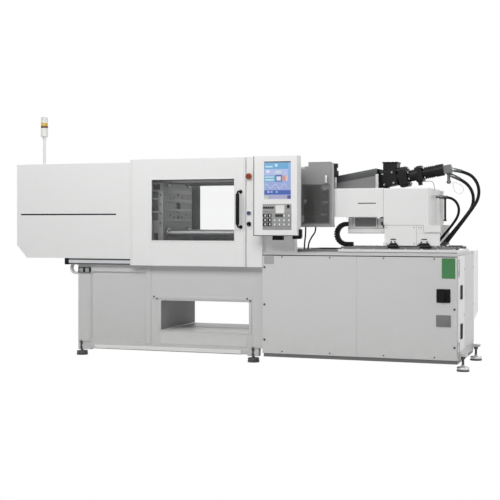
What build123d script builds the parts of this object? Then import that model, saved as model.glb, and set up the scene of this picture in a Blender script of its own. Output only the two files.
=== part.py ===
from build123d import *
import math
import os

# Horizontal injection moulding machine, in millimetres
# +X runs along the machine towards the injection end, +Y to its back, +Z up from the floor

# Main lengths, front view, set out from the joint of the two bases
x_joint = 366
clamp_base_length = 1729
cover_overhang = 619
injection_base_length = 1616
x_base_left = x_joint - clamp_base_length
x_left = x_base_left - cover_overhang
x_right = x_joint + injection_base_length

# Main widths about the clamp axis
axis_y = -70
clamp_base_half = 386
cover_half = 421
injection_base_half = 446
base_front = axis_y - clamp_base_half
base_back = axis_y + clamp_base_half
y_front = axis_y - injection_base_half
y_back = axis_y + injection_base_half

# Main heights
base_underside = 118
sled_bottom = 60
base_top = 800
clamp_height = 507
clamp_z = base_top + clamp_height
rail_height = 55
cover_top = clamp_z + 385
door_top = cover_top + 25
panel_bottom = 88
panel_top = base_top + 106
rim_height = 18
bed_bottom = panel_top + rim_height + 8
bed_top = bed_bottom + 20

# Clearances
gap = 2
slide_gap = 0.3
running_gap = 0.1

# Sheet and panel thicknesses
sheet = 3
panel_depth = 20


def block(x0, x1, y0, y1, z0, z1):
    """A box given by its corners."""
    return Pos((x0 + x1) / 2, (y0 + y1) / 2, (z0 + z1) / 2) * Box(x1 - x0, y1 - y0, z1 - z0)


def rod_x(radius, x0, x1, y, z):
    """A round bar along X."""
    return Pos((x0 + x1) / 2, y, z) * Rot(0, 90, 0) * Cylinder(radius, x1 - x0)


def rod_y(radius, y0, y1, x, z):
    """A round bar along Y."""
    return Pos(x, (y0 + y1) / 2, z) * Rot(90, 0, 0) * Cylinder(radius, y1 - y0)


def rod_z(radius, z0, z1, x, y):
    """A round bar along Z."""
    return Pos(x, y, (z0 + z1) / 2) * Cylinder(radius, z1 - z0)


def plate_xz(points, y0, y1):
    """A plate whose outline lies in the XZ plane, from y0 to y1."""
    outline = Polyline(*[(x, y0, z) for x, z in points], close=True)
    return extrude(make_face(outline), amount=y1 - y0, dir=(0, 1, 0))


def plate_yz(points, x0, x1):
    """A plate whose outline lies in the YZ plane, from x0 to x1."""
    outline = Polyline(*[(x0, y, z) for y, z in points], close=True)
    return extrude(make_face(outline), amount=x1 - x0, dir=(1, 0, 0))


def back_of(y):
    """The place behind the machine that mirrors a place in front of the clamp axis."""
    return 2 * axis_y - y


# The levelling feet stand out past both ends, so the part's own origin is set half way between
foot_radius = 50
foot_inset = 15
nut_radius = 17
foot_left_x = x_base_left + nut_radius
foot_middle_x = x_joint - 101
foot_right_x = x_right + 28
foot_front_y = base_front + foot_inset
foot_back_y = base_back - foot_inset
x_shift = -(x_left + foot_right_x + foot_radius) / 2


def save(name, *shapes):
    """Writes one node, moved to the part's origin."""
    solids = [solid for shape in shapes for solid in shape.solids()]
    moved = [Pos(x_shift, 0, 0) * solid for solid in solids]
    whole = moved[0] if len(moved) == 1 else Compound(moved)
    export_step(whole, f"parts/{name}.step")


os.makedirs("parts", exist_ok=True)

# Clamp base: welded frame with a through opening for the parts conveyor
open_left = x_joint - 943
open_right = x_joint - 136
open_bottom = base_underside + 122
open_top = base_top - 300
chute_left = open_left + 107
chute_right = open_right - 80
chute_half = 185
recess_left = x_base_left + 115
recess_right = open_left - 142
recess_depth = 12
lug_x = x_base_left - 44
lug_z = base_top - 33
lug_radius = 54
lug_hole = 35
lug_thickness = 30

clamp_base = block(x_base_left, x_joint, base_front, base_back, base_underside, base_top)
clamp_base += block(x_base_left + 150, foot_middle_x - 104, base_front, base_back, sled_bottom,
                    base_underside)
tunnel = block(open_left, open_right, base_front - 1, base_back + 1, open_bottom, open_top)
clamp_base -= fillet(tunnel.edges().filter_by(Axis.Y), 12)
clamp_base -= block(chute_left, chute_right, axis_y - chute_half, axis_y + chute_half, open_top - 1,
                    base_top + 1)
for y0 in (base_front - 1, base_back - recess_depth):
    pocket = block(recess_left, recess_right, y0, y0 + recess_depth + 1, open_bottom - 90, base_top - 60)
    clamp_base -= fillet(pocket.edges().filter_by(Axis.Y), 14)
for y0 in (base_front, base_back - lug_thickness):
    y1 = y0 + lug_thickness
    lug = rod_y(lug_radius, y0, y1, lug_x, lug_z)
    lug += block(lug_x, x_base_left, y0, y1, lug_z - lug_radius, lug_z + 33)
    lug -= rod_y(lug_hole, y0 - 1, y1 + 1, lug_x, lug_z)
    lug -= block(lug_x - lug_radius - 1, x_base_left, y0 - 1, y1 + 1, base_top, base_top + lug_radius)
    clamp_base += lug
save("clamp_base", clamp_base)

# Levelling feet: cone pad, threaded stem and lock nut turned as one outline
stem_radius = 10
pad_profile = [
    (0, 0), (foot_radius, 0), (foot_radius, 12), (24, 30), (stem_radius, 32),
    (stem_radius, base_underside - 22), (nut_radius, base_underside - 22), (nut_radius, base_underside),
    (0, base_underside),
]
foot_outline = Polyline(*[(r, 0, z) for r, z in pad_profile], close=True)
foot = revolve(make_face(foot_outline), Axis.Z, 360)
feet = []
for foot_x in (foot_left_x, foot_middle_x, foot_right_x):
    for foot_y in (foot_front_y, foot_back_y):
        feet.append(Pos(foot_x, foot_y, 0) * foot)
save("levelling_feet", *feet)

# Rear platen and clamp cylinder
tie_spacing = 460
tie_radius = 32.5
platen_half = 320
rear_platen_left = x_base_left + 23
rear_platen_right = rear_platen_left + 140
cylinder_left = x_left + 77
cylinder_radius = 170
cylinder_flange = 215
neck_radius = 150
ram_radius = 110
clamp_stroke = 500
least_mould_height = 310
tie_places = [
    (axis_y + sy * tie_spacing / 2, clamp_z + sz * tie_spacing / 2) for sy in (-1, 1) for sz in (-1, 1)
]


def platen_plate(x0, x1):
    """A square platen with rounded corners and its four tie bar holes."""
    plate = block(x0, x1, axis_y - platen_half, axis_y + platen_half, clamp_z - platen_half,
                  clamp_z + platen_half)
    plate = fillet(plate.edges().filter_by(Axis.X), 45)
    for y, z in tie_places:
        plate -= rod_x(tie_radius + running_gap, x0 - 1, x1 + 1, y, z)
    return plate


clamp_rail_top = base_top + 30
rear_platen = platen_plate(rear_platen_left, rear_platen_right)
for y in (axis_y - 250, axis_y + 250):
    rear_platen += block(
        rear_platen_left, rear_platen_right, y - 60, y + 60, base_top, clamp_z - platen_half + 40
    )
rear_platen -= rod_x(neck_radius + running_gap, rear_platen_left - 1, rear_platen_right + 1, axis_y, clamp_z)
save("rear_platen", rear_platen)

bore_left = cylinder_left + 60
clamp_cylinder = rod_x(cylinder_radius, cylinder_left, rear_platen_left, axis_y, clamp_z)
clamp_cylinder += rod_x(cylinder_flange, rear_platen_left - 45, rear_platen_left, axis_y, clamp_z)
clamp_cylinder += rod_x(cylinder_radius + 15, cylinder_left, cylinder_left + 50, axis_y, clamp_z)
clamp_cylinder += rod_x(neck_radius, rear_platen_left - 1, rear_platen_right, axis_y, clamp_z)
clamp_cylinder -= rod_x(ram_radius + running_gap, bore_left, rear_platen_right + 1, axis_y, clamp_z)
save("clamp_cylinder", clamp_cylinder)

# Fixed platen with locating bore and mould bolt holes
fixed_left = open_right
fixed_right = fixed_left + 150
locating_radius = 50
locating_depth = 30
nozzle_hole = 38
bolt_radius = 8
bolt_depth = 40
bolt_spacing_y = 350
bolt_spacings_z = (140, 420)


def mould_holes(x0, x1):
    """Blind threaded holes for mould clamps in a platen face."""
    holes = []
    for spacing_z in bolt_spacings_z:
        for sy in (-1, 1):
            for sz in (-1, 1):
                y = axis_y + sy * bolt_spacing_y / 2
                holes.append(rod_x(bolt_radius, x0, x1, y, clamp_z + sz * spacing_z / 2))
    return holes


fixed_platen = platen_plate(fixed_left, fixed_right)
fixed_platen -= rod_x(locating_radius, fixed_left - 1, fixed_left + locating_depth, axis_y, clamp_z)
nozzle_cone = Pos((fixed_left + locating_depth + fixed_right) / 2, axis_y, clamp_z) * Rot(0, 90, 0) * Cone(
    nozzle_hole, 95, fixed_right - fixed_left - locating_depth + 0.02
)
fixed_platen -= nozzle_cone
for hole in mould_holes(fixed_left - 1, fixed_left + bolt_depth):
    fixed_platen -= hole
for y in (axis_y - 250, axis_y + 250):
    fixed_platen += block(fixed_left, x_joint, y - 60, y + 60, base_top, clamp_z - platen_half + 40)
save("fixed_platen", fixed_platen)

# Tie bars and their nuts
nut_length = 60
tie_nut_radius = 56
tie_left = rear_platen_left - nut_length
tie_right = fixed_right + nut_length
save("tie_bars", *[rod_x(tie_radius, tie_left - 8, tie_right + 8, y, z) for y, z in tie_places])
nuts = []
for y, z in tie_places:
    for x0 in (tie_left, fixed_right):
        nut = Pos(x0 + nut_length / 2, y, z) * Rot(0, 90, 0) * extrude(
            RegularPolygon(tie_nut_radius, 12), amount=nut_length / 2, both=True
        )
        nut -= rod_x(tie_radius + running_gap, x0 - 1, x0 + nut_length + 1, y, z)
        nuts.append(nut)
save("tie_bar_nuts", *nuts)

# Linear rails that carry the moving platen
clamp_rail_half = 14
clamp_rail_y = 250
linear_rails = []
for y in (axis_y - clamp_rail_y, axis_y + clamp_rail_y):
    linear_rails.append(block(rear_platen_right + 10, fixed_left - 10, y - clamp_rail_half,
                              y + clamp_rail_half, base_top, clamp_rail_top))

# Moving platen: ribbed casting with tie bar bosses, ejector housing and guide shoes
platen_face = fixed_left - least_mould_height - clamp_stroke
platen_depth = 160
platen_back = platen_face - platen_depth
housing_back = platen_back - 160
housing_half = 190
ejector_half = 130
rib = 26
rod_radius = 12
rod_offset = 90

moving_platen = platen_plate(platen_back, platen_face)
face_plate = 52
for side in (-1, 1):
    y_outer = axis_y + side * platen_half
    y_inner = axis_y + side * (platen_half - 42)
    y0, y1 = sorted((y_outer + side, y_inner))
    for z0, z1 in ((-165, -72), (-46, 46), (72, 165)):
        pocket = block(platen_back + rib, platen_face - face_plate, y0, y1, clamp_z + z0, clamp_z + z1)
        moving_platen -= fillet(pocket.edges().filter_by(Axis.Y), 10)
    z_outer = clamp_z + side * platen_half
    z_inner = clamp_z + side * (platen_half - 42)
    z0, z1 = sorted((z_outer + side, z_inner))
    for y0, y1 in ((-165, -20), (20, 165)):
        pocket = block(platen_back + rib, platen_face - face_plate, axis_y + y0, axis_y + y1, z0, z1)
        moving_platen -= fillet(pocket.edges().filter_by(Axis.Z), 10)
for hole in mould_holes(platen_face - bolt_depth, platen_face + 1):
    moving_platen -= hole
moving_platen -= rod_x(locating_radius, platen_face - locating_depth, platen_face + 1, axis_y, clamp_z)
housing = block(housing_back, platen_back, axis_y - housing_half, axis_y + housing_half,
                clamp_z - housing_half, clamp_z + housing_half)
housing = fillet(housing.edges().filter_by(Axis.X), 30)
housing -= block(housing_back + 36, platen_back, axis_y - housing_half - 1, axis_y + housing_half + 1,
                 clamp_z - ejector_half - 12, clamp_z + ejector_half + 12)
moving_platen += housing
for sy in (-1, 1):
    for sz in (-1, 1):
        y = axis_y + sy * rod_offset
        z = clamp_z + sz * rod_offset
        moving_platen -= rod_x(rod_radius + running_gap, platen_back - 1, platen_face + 1, y, z)
shoe_gap = slide_gap
for y in (axis_y - clamp_rail_y, axis_y + clamp_rail_y):
    shoe = block(platen_back, platen_face, y - 60, y + 60, base_top + 6, clamp_z - platen_half + 40)
    shoe -= block(platen_back - 1, platen_face + 1, y - clamp_rail_half - shoe_gap,
                  y + clamp_rail_half + shoe_gap, base_top, clamp_rail_top + shoe_gap)
    shoe -= block(platen_back + rib, platen_face - face_plate, y - 61, y + 61, base_top + 60,
                  clamp_z - platen_half - 20)
    moving_platen += shoe
save("moving_platen", moving_platen)

# Clamp ram
ram_left = bore_left + 5
save("clamp_ram", rod_x(ram_radius, ram_left, housing_back, axis_y, clamp_z))

# Ejector plate with its four rods
ejector_x = housing_back + 40
ejector_plate = block(ejector_x, ejector_x + 24, axis_y - ejector_half, axis_y + ejector_half,
                      clamp_z - ejector_half, clamp_z + ejector_half)
ejector_plate = fillet(ejector_plate.edges().filter_by(Axis.X), 12)
for sy in (-1, 1):
    for sz in (-1, 1):
        y = axis_y + sy * rod_offset
        z = clamp_z + sz * rod_offset
        ejector_plate += rod_x(rod_radius, ejector_x + 10, platen_face - 5, y, z)
save("ejector_plate", ejector_plate)

# Door rails: lower rails on the base, upper rails on header beams
rail_left = x_base_left - 119
rail_front = y_front + 36
rail_back = rail_front + 40
strip_depth = 10
strip_low = 15
strip_high = 40
cover_right = x_joint - 1216
header_left = cover_right - 50
header_right = x_joint - 141 + gap
header_top = cover_top - sheet
header_bottom = header_top - 52


def door_rail(x0, x1, z0, z1, strip_x0):
    """A rail bar with a guide strip standing out in front."""
    bar = block(x0, x1, rail_front, rail_back, z0, z1)
    return bar + block(strip_x0, x1, rail_front - strip_depth, rail_front, z0 + strip_low, z0 + strip_high)


def mirrored(shape):
    """The same piece on the back side of the machine."""
    return Pos(0, 2 * axis_y, 0) * mirror(shape, Plane.XZ)


lower_rail = door_rail(rail_left, header_right, base_top, base_top + rail_height, rail_left)
upper_rail = door_rail(header_left, header_right, header_bottom, header_top, cover_right + 4)
rail_end = block(rail_left - 12, rail_left, rail_front - strip_depth, rail_back, base_top,
                 base_top + rail_height)
lower_rail += rail_end
save("door_rails", lower_rail, mirrored(lower_rail), upper_rail, mirrored(upper_rail))

# Clamp cover: folded sheet shell with a chamfered lower corner
chamfer_x = x_left + 103
cover_bottom = base_top + rail_height
chamfer_z = cover_bottom + 113
cover_points = [
    (x_left, chamfer_z), (chamfer_x, cover_bottom), (cover_right, cover_bottom),
    (cover_right, cover_top), (x_left, cover_top),
]
cover_inner = [
    (x_left + sheet, chamfer_z + 1), (chamfer_x + 1, cover_bottom + sheet),
    (cover_right + 1, cover_bottom + sheet),
    (cover_right + 1, cover_top - sheet), (x_left + sheet, cover_top - sheet),
]
cover_front = axis_y - cover_half
cover_back = axis_y + cover_half
clamp_cover = plate_xz(cover_points, cover_front, cover_back)
clamp_cover -= plate_xz(cover_inner, cover_front + sheet, cover_back - sheet)
floor_opening = block(x_base_left, cover_right + 1, rail_back + 12, back_of(rail_back + 12),
                      cover_bottom - 1, cover_bottom + sheet + 1)
clamp_cover -= floor_opening
save("clamp_cover", clamp_cover)

# Sockets on the clamp base and under the operator panel
hmi_width = 369
hmi_height = 651
hmi_left = x_joint - 29
hmi_right = hmi_left + hmi_width
hmi_front = y_front - 121
hmi_rear = y_front - 9
hmi_top = door_top - 1
hmi_bottom = hmi_top - hmi_height
socket_left = x_base_left - 9
socket_z = base_top - 48
socket_block = block(socket_left, socket_left + 119, base_front - 14, base_front, socket_z - 23,
                     socket_z + 24)
for x in (socket_left + 30, socket_left + 89):
    socket_block -= rod_y(17, base_front - 15, base_front - 8, x, socket_z)
outlet_right = hmi_right + 22
panel_socket = block(hmi_left + 144, hmi_left + 231, hmi_front + 45, hmi_front + 85, hmi_bottom - 38,
                     hmi_bottom)
cable_outlet = block(outlet_right - 75, outlet_right, hmi_front + 45, hmi_front + 80, hmi_bottom - 29,
                     hmi_bottom)
cable_outlet += block(hmi_right, outlet_right, hmi_front + 45, hmi_front + 80, hmi_bottom - 29,
                      hmi_bottom + 50)
outlet_corner = cable_outlet.edges().filter_by(Axis.Y).sort_by(Axis.X)[-2:].sort_by(Axis.Z)[0]
cable_outlet = fillet(outlet_corner, 20)
save("connector_sockets", socket_block, panel_socket, cable_outlet)

# Signal lamp on the clamp cover
lamp_x = x_left + 38
lamp_radius = 33
pole_radius = 13
lamp_bottom = cover_top + 283
lens_bottom = lamp_bottom + 89
lens_top = lens_bottom + 42
lamp_top = lens_top + 54
pole = rod_z(pole_radius, cover_top, lamp_bottom, lamp_x, axis_y)
pole += rod_z(24, cover_top, cover_top + 8, lamp_x, axis_y)
lamp_foot = fillet(rod_z(lamp_radius, lamp_bottom, lens_bottom, lamp_x, axis_y).edges().sort_by(Axis.Z)[0], 4)
lamp_cap = fillet(rod_z(lamp_radius, lens_top, lamp_top, lamp_x, axis_y).edges().sort_by(Axis.Z)[-1], 5)
save("signal_lamp", pole + lamp_foot, lamp_cap)
lens = rod_z(lamp_radius - 1, lens_bottom, lens_top, lamp_x, axis_y)
for z in (lens_bottom + 8, lens_bottom + 20, lens_bottom + 32):
    lens += rod_z(lamp_radius, z - 3, z + 3, lamp_x, axis_y)
save("signal_lens", lens)

# Pillars that close the mould area beside the fixed platen
pillar_left = x_joint - 141
pillar_right = x_joint
pillar_depth = 60
control_x = x_joint - 115
estop_z = clamp_z + 249
button_z = clamp_z - 57
key_z = clamp_z - 149
estop_stem = 11
button_stem = 7
key_stem = 8


def pillar():
    """A folded channel, open towards the machine."""
    outer = block(pillar_left + gap, pillar_right, y_front, y_front + pillar_depth, base_top, door_top)
    inner = block(pillar_left + gap + sheet, pillar_right - sheet, y_front + sheet,
                  y_front + pillar_depth + 1, base_top + sheet, door_top - sheet)
    return fillet(outer.edges().filter_by(Axis.Z).group_by(Axis.Y)[0], 4) - inner


control_pillar = pillar()
for radius, z in ((estop_stem, estop_z), (button_stem, button_z), (key_stem, key_z)):
    control_pillar -= rod_y(radius + running_gap, y_front - 1, y_front + sheet + 1, control_x, z)
foot_bar = block(pillar_left + gap, pillar_right, y_front + pillar_depth - 2, base_front + 40, base_top,
                 base_top + 40)
head_bar = block(pillar_left + gap, pillar_right, y_front + pillar_depth - 2, axis_y - platen_half,
                 door_top - 240, door_top - 200)
control_pillar += foot_bar
control_pillar += head_bar
rear_pillar = mirrored(pillar() + foot_bar + head_bar)
save("side_pillars", control_pillar, rear_pillar)

# Emergency stop, push button and key switch
estop_points = [
    (0, -30), (17, -30), (21, -27), (22, -20), (20, -15), (estop_stem, -12), (estop_stem, 16), (0, 16),
]
estop_outline = Polyline(*[(r, 0, z) for r, z in estop_points], close=True)
estop = Rot(-90, 0, 0) * revolve(make_face(estop_outline), Axis.Z, 360)
save("e_stop_button", Pos(control_x, y_front, estop_z) * estop)
push_button = rod_y(16, y_front - 14, y_front - 6, control_x, button_z)
push_button += rod_y(button_stem, y_front - 6, y_front + 16, control_x, button_z)
save("push_button", fillet(push_button.edges().sort_by(Axis.Y)[0], 2))
key_switch = rod_y(14, y_front - 12, y_front - 0.5, control_x, key_z)
key_switch += rod_y(key_stem, y_front - 1, y_front + 16, control_x, key_z)
key_blade = block(control_x - 2, control_x + 2, y_front - 34, y_front - 11, key_z - 5, key_z + 5)
key_bow = rod_x(14, control_x - 2, control_x + 2, y_front - 40, key_z)
key_bow -= rod_x(5, control_x - 3, control_x + 3, y_front - 43, key_z)
save("key_switch", key_switch + key_blade + key_bow)

# Operator panel
screen_left = hmi_left + 87
screen_right = hmi_right - 51
screen_top = hmi_top - 46
screen_bottom = screen_top - 309
keypad_left = hmi_left + 74
keypad_right = hmi_right - 47
keypad_bottom = hmi_bottom + 45
keypad_top = screen_bottom - 39
housing_box = block(hmi_left, hmi_right, hmi_front, hmi_rear, hmi_bottom, hmi_top)
housing_box = fillet(housing_box.edges().group_by(Axis.Y)[0], 5)
housing_box -= block(screen_left, screen_right, hmi_front - 1, hmi_front + 8, screen_bottom, screen_top)
housing_box -= block(keypad_left, keypad_right, hmi_front - 1, hmi_front + 5, keypad_bottom, keypad_top)
save("hmi_housing", housing_box)
save("hmi_screen", block(screen_left + 0.3, screen_right - 0.3, hmi_front + 3, hmi_front + 8,
                         screen_bottom + 0.3, screen_top - 0.3))
keypad = block(keypad_left + 0.3, keypad_right - 0.3, hmi_front + 2, hmi_front + 5, keypad_bottom + 0.3,
               keypad_top - 0.3)
key_pitch_x = (keypad_right - keypad_left - 56) / 8
key_pitch_z = (keypad_top - keypad_bottom - 56) / 6
for column in range(9):
    for row in range(7):
        if row == 3 and column in (3, 4, 5):
            continue
        key_x = keypad_left + 28 + column * key_pitch_x
        key_row_z = keypad_bottom + 28 + row * key_pitch_z
        keypad += block(key_x - 9, key_x + 9, hmi_front + 0.5, hmi_front + 2, key_row_z - 9, key_row_z + 9)
save("hmi_keypad", keypad)

bracket_left = pillar_right + gap
bracket_right = hmi_right - 64
bracket_y = y_front + 46
bracket_foot = panel_top + rim_height
bracket = block(bracket_left, bracket_right, bracket_y, bracket_y + 8, bracket_foot, hmi_top - 116)
bracket += block(bracket_left, bracket_right, bracket_y, bracket_y + 60, bracket_foot, bracket_foot + 8)
rib_top = hmi_bottom + 235
for x0 in (bracket_left, bracket_right - 8):
    rib_points = [
        (bracket_y, bracket_foot + 8), (bracket_y + 58, bracket_foot + 8), (bracket_y + 8, rib_top),
        (bracket_y, rib_top),
    ]
    bracket += plate_yz(rib_points, x0, x0 + 8)
for z in (hmi_bottom + 95, hmi_top - 156):
    for x in (bracket_left + 50, bracket_right - 50):
        bracket += rod_y(14, hmi_rear, bracket_y, x, z)
save("hmi_bracket", bracket)

# Injection base: frame with an electrical compartment behind the end door
frame_left = x_joint + gap
frame_front = y_front + panel_depth
frame_back = y_back - panel_depth
frame_right = x_right - panel_depth
gear_left = frame_right - 320
gear_back = axis_y - 100
sill_top = panel_bottom + 58
door_back = gear_back + 8
injection_base = block(frame_left, frame_right, frame_front, frame_back, panel_bottom, panel_top)
injection_base -= block(gear_left, frame_right + 1, frame_front + 20, gear_back, sill_top + 20,
                        panel_top - 26)
injection_base += block(frame_right, x_right, frame_front, frame_back, panel_bottom, sill_top)
injection_base += block(frame_left, frame_right + 8, frame_front - 10, frame_back + 10, panel_top,
                        panel_top + rim_height)
rim_left = frame_left + 8
rim_right = frame_right - 4
rim_front = axis_y - 316
rim_back = axis_y + 316
injection_base += block(rim_left, rim_right, rim_front, rim_back, panel_top + rim_height, bed_bottom)
bracket_reach = foot_right_x + 35
for y in (foot_front_y, foot_back_y):
    injection_base += block(frame_right, bracket_reach, y - 33, y + 33, base_underside, base_underside + 18)
    gusset = [
        (x_right, base_underside + 18), (bracket_reach - 20, base_underside + 18), (x_right, sill_top - 2),
    ]
    injection_base += plate_xz(gusset, y - 33, y - 25)
save("injection_base", injection_base)

# Screwed sheet panels round the injection base
cabinet_left = x_right - 882
cabinet_bottom = panel_bottom + 255
seam_x = (frame_left + x_right) / 2 - 4


def pan(x0, x1, z0, z1):
    """A front panel with its edges folded back."""
    outer = block(x0, x1, y_front, y_front + panel_depth, z0, z1)
    outer = fillet(outer.edges().group_by(Axis.Y)[0], 2.5)
    return outer - block(x0 + sheet, x1 - sheet, y_front + sheet, y_front + panel_depth + 1, z0 + sheet,
                         z1 - sheet)


vent_left = x_right - 168
vent_width = 110
vent_bottom = panel_bottom + 265
breaker_x = vent_left + vent_width / 2
breaker_z = panel_top - 312
handle_stem = 9
panel_left = pan(frame_left, seam_x - gap, panel_bottom, panel_top)
panel_right = pan(seam_x + gap, x_right - 8, panel_bottom, panel_top)
for row in range(6):
    slot_z = vent_bottom + 8 + row * 14
    panel_right -= block(vent_left + 6, vent_left + vent_width - 6, y_front - 1, y_front + sheet + 1, slot_z,
                         slot_z + 7)
panel_right -= rod_y(handle_stem + running_gap, y_front - 1, y_front + sheet + 1, breaker_x, breaker_z)
end_panel = block(frame_right, x_right, door_back + gap, y_back, sill_top + gap, panel_top)
end_panel -= block(frame_right - 1, x_right - sheet, door_back + gap + sheet, y_back - sheet,
                   sill_top + gap + sheet, panel_top - sheet)
rear_panel = block(frame_left, frame_right, frame_back, y_back, panel_bottom, panel_top)
rear_panel -= block(frame_left + sheet, frame_right - sheet, frame_back - 1, y_back - sheet,
                    panel_bottom + sheet, panel_top - sheet)
rear_panel -= block(cabinet_left - gap, x_right, frame_back - 1, y_back + 1, cabinet_bottom - gap,
                    panel_top + 1)
end_panel -= block(frame_right - 1, x_right + 1, frame_back, y_back + 1, cabinet_bottom - gap, panel_top + 1)
save("base_panels", panel_left, panel_right, end_panel, rear_panel)

# Hinged end door with its louvres
hinge_x = x_right
hinge_y = frame_front - 5
door_inner_x = frame_right + slide_gap
end_door = block(door_inner_x, x_right, frame_front + gap, door_back - gap, sill_top + gap, panel_top - gap)
end_door -= block(door_inner_x - 1, x_right - sheet, frame_front + gap + sheet, door_back - gap - sheet,
                  sill_top + gap + sheet, panel_top - gap - sheet)
for louvre_bottom in (sill_top + 104, panel_top - 344):
    for row in range(7):
        slot_z = louvre_bottom + row * 16
        end_door -= block(x_right - sheet - 1, x_right + 1, frame_front + 96, frame_front + 236, slot_z,
                          slot_z + 8)
for z in (sill_top + 37, panel_top - 85):
    knuckle = rod_z(6, z - 30, z + 30, hinge_x, hinge_y)
    knuckle += block(hinge_x - 3, hinge_x, hinge_y, frame_front + 30, z - 30, z + 30)
    end_door += knuckle
save("end_door", end_door)

# Rear electrical cabinet with a sloped underside and louvres
cabinet_back = y_back + 261
cabinet_top = panel_top + 23
cabinet_points = [
    (frame_back, cabinet_bottom), (frame_back + 74, cabinet_bottom), (cabinet_back, cabinet_bottom + 49),
    (cabinet_back, cabinet_top), (frame_back + 10 + gap, cabinet_top),
    (frame_back + 10 + gap, panel_top - gap),
    (frame_back, panel_top - gap),
]
cabinet = plate_yz(cabinet_points, cabinet_left, x_right)
for x0 in (cabinet_left + 120, cabinet_left + 520):
    for row in range(8):
        slot_z = cabinet_bottom + 127 + row * 22
        cabinet -= block(x0, x0 + 220, cabinet_back - 6, cabinet_back + 1, slot_z, slot_z + 9)
cabinet -= block((cabinet_left + x_right) / 2 - 1.5, (cabinet_left + x_right) / 2 + 1.5, cabinet_back - 6,
                 cabinet_back + 1, cabinet_bottom + 70, cabinet_top - 20)
save("electrical_cabinet", cabinet)

# Kick skirt
skirt_bottom = 59
skirt = block(frame_left + 10, x_right - 6, frame_front - 14, frame_back + 10, skirt_bottom, panel_bottom)
skirt -= block(frame_left + 30, x_right - 26, frame_front + 6, frame_back - 10, skirt_bottom - 1,
               panel_bottom - 4)
save("base_skirt", skirt)

# Control gear on the compartment's back wall
gear = block(gear_left, gear_left + 8, frame_front + 40, gear_back - 20, sill_top + 40, panel_top - 46)
gear_rows = (
    (sill_top + 84, 90, 70), (sill_top + 254, 120, 95), (panel_top - 306, 100, 60), (panel_top - 156, 70, 50),
)
for row_z, row_height, row_depth in gear_rows:
    for place in range(3):
        y0 = frame_front + 55 + place * 78
        gear += block(gear_left + 8, gear_left + 8 + row_depth, y0, y0 + 66, row_z, row_z + row_height)
save("control_gear", gear)

# Inclined screw axis
incline = 10
slope = math.tan(math.radians(incline))
motor_x = x_right - 507
motor_z = clamp_z + 244


def axis_height(x):
    """Height of the inclined screw axis above the floor."""
    return motor_z + (x - motor_x) * slope


# Hoses: straight runs joined by tangent arcs
hose_diameter = 26
small_hose_diameter = 22
hose_lift = (motor_z - bed_top) / 599


def hose_route(y, places):
    """Route points of a hose in one plane, from places given from the machine's right end and its bed."""
    return [(x_right + x, y, bed_top + z * hose_lift) for x, z in places]


lower_y = axis_y + 130
upper_hose = hose_route(axis_y - 15, [
    (-76, 646), (13, 625), (78, 570), (108, 488), (96, 402), (48, 328), (-72, 166), (-180, 26),
])
middle_hose = hose_route(axis_y + 20, [
    (-92, 593), (-24, 560), (33, 503), (58, 428), (48, 350), (1, 280), (-104, 148), (-207, 26),
])
lower_hose = hose_route(lower_y, [
    (-214, 432), (-157, 429), (-107, 400), (-79, 347), (-82, 287), (-112, 229), (-189, 131), (-259, 46),
])


def hose(points, diameter, name):
    """A tube along straight runs and the largest arcs that they allow."""
    radii = []
    for before, here, after in zip(points, points[1:], points[2:]):
        run_in = Vector(*here) - Vector(*before)
        run_out = Vector(*after) - Vector(*here)
        half_turn = math.radians(run_in.get_angle(run_out) / 2)
        radii.append(0.45 * min(run_in.length, run_out.length) / math.tan(half_turn))
    print(name, "radii", [round(r) for r in radii])
    path = FilletPolyline(*points, radius=radii)
    start = Plane(origin=path @ 0, z_dir=path % 0)
    tube = sweep(start * Circle(diameter / 2), path=path)
    ratio = tube.volume / (math.pi * diameter ** 2 / 4 * path.length)
    print(name, "volume ratio", round(ratio, 4), "length", round(path.length))
    return tube


def sleeve(tip, neighbour, radius, length):
    """A round sleeve that starts at a hose's end and goes on in the same line."""
    away = Vector(*tip) - Vector(*neighbour)
    return Plane(origin=tip, z_dir=away) * Pos(0, 0, length / 2) * Cylinder(radius, length)


# Bed: machined plate, drip tray under the nozzle, injection rails
tray_right = x_joint + 605
bed_left = tray_right + 8
bed_front = axis_y - 326
bed_back = axis_y + 326
nose_left = x_joint + 659
nose_lift = 128
nose_bottom = bed_top + nose_lift
chain_outer = 16.5
chain_bend = 83.5
chain_rise = 78
chain_z = nose_bottom + chain_rise - chain_bend
chain_foot_top = chain_z - chain_bend - chain_outer
bed_plate = block(bed_left, rim_right, bed_front, bed_back, bed_bottom, bed_top)
bed_plate = fillet(bed_plate.edges().filter_by(Axis.Z), 8)
stub_length = 75
for points in (upper_hose, middle_hose, lower_hose):
    tip = points[-1]
    stub = sleeve(tip, points[-2], 16, stub_length)
    stub -= block(tip[0] - 100, tip[0] + 100, tip[1] - 40, tip[1] + 40, bed_top - 80, bed_top)
    bed_plate += stub
    bed_plate += block(tip[0] - 62, tip[0] + 14, tip[1] - 22, tip[1] + 22, bed_top, bed_top + 10)
chain_foot_y = axis_y - 146 - 30
bed_plate += block(nose_left + 19, nose_left + 49, chain_foot_y, chain_foot_y + 22, bed_top, chain_foot_top)
save("bed_plate", bed_plate)
tray = block(frame_left, tray_right, bed_front + 8, bed_back - 8, bed_bottom, bed_top - 2)
tray -= block(bracket_right + 20, tray_right - 16, bed_front + 24, bed_back - 24, bed_bottom + 4, bed_top)
save("purge_tray", tray)

rail_y = 200
rail_half = 15
rail_top = bed_top + 20
for y in (axis_y - rail_y, axis_y + rail_y):
    bar = block(bed_left, rim_right - 5, y - rail_half, y + rail_half, bed_top, rail_top)
    for side in (-1, 1):
        y0, y1 = sorted((y + side * (rail_half + 1), y + side * (rail_half - 4)))
        bar -= block(bed_left - 1, rim_right, y0, y1, bed_top + 7, bed_top + 13)
    linear_rails.append(bar)
save("linear_rails", *linear_rails)

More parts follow.
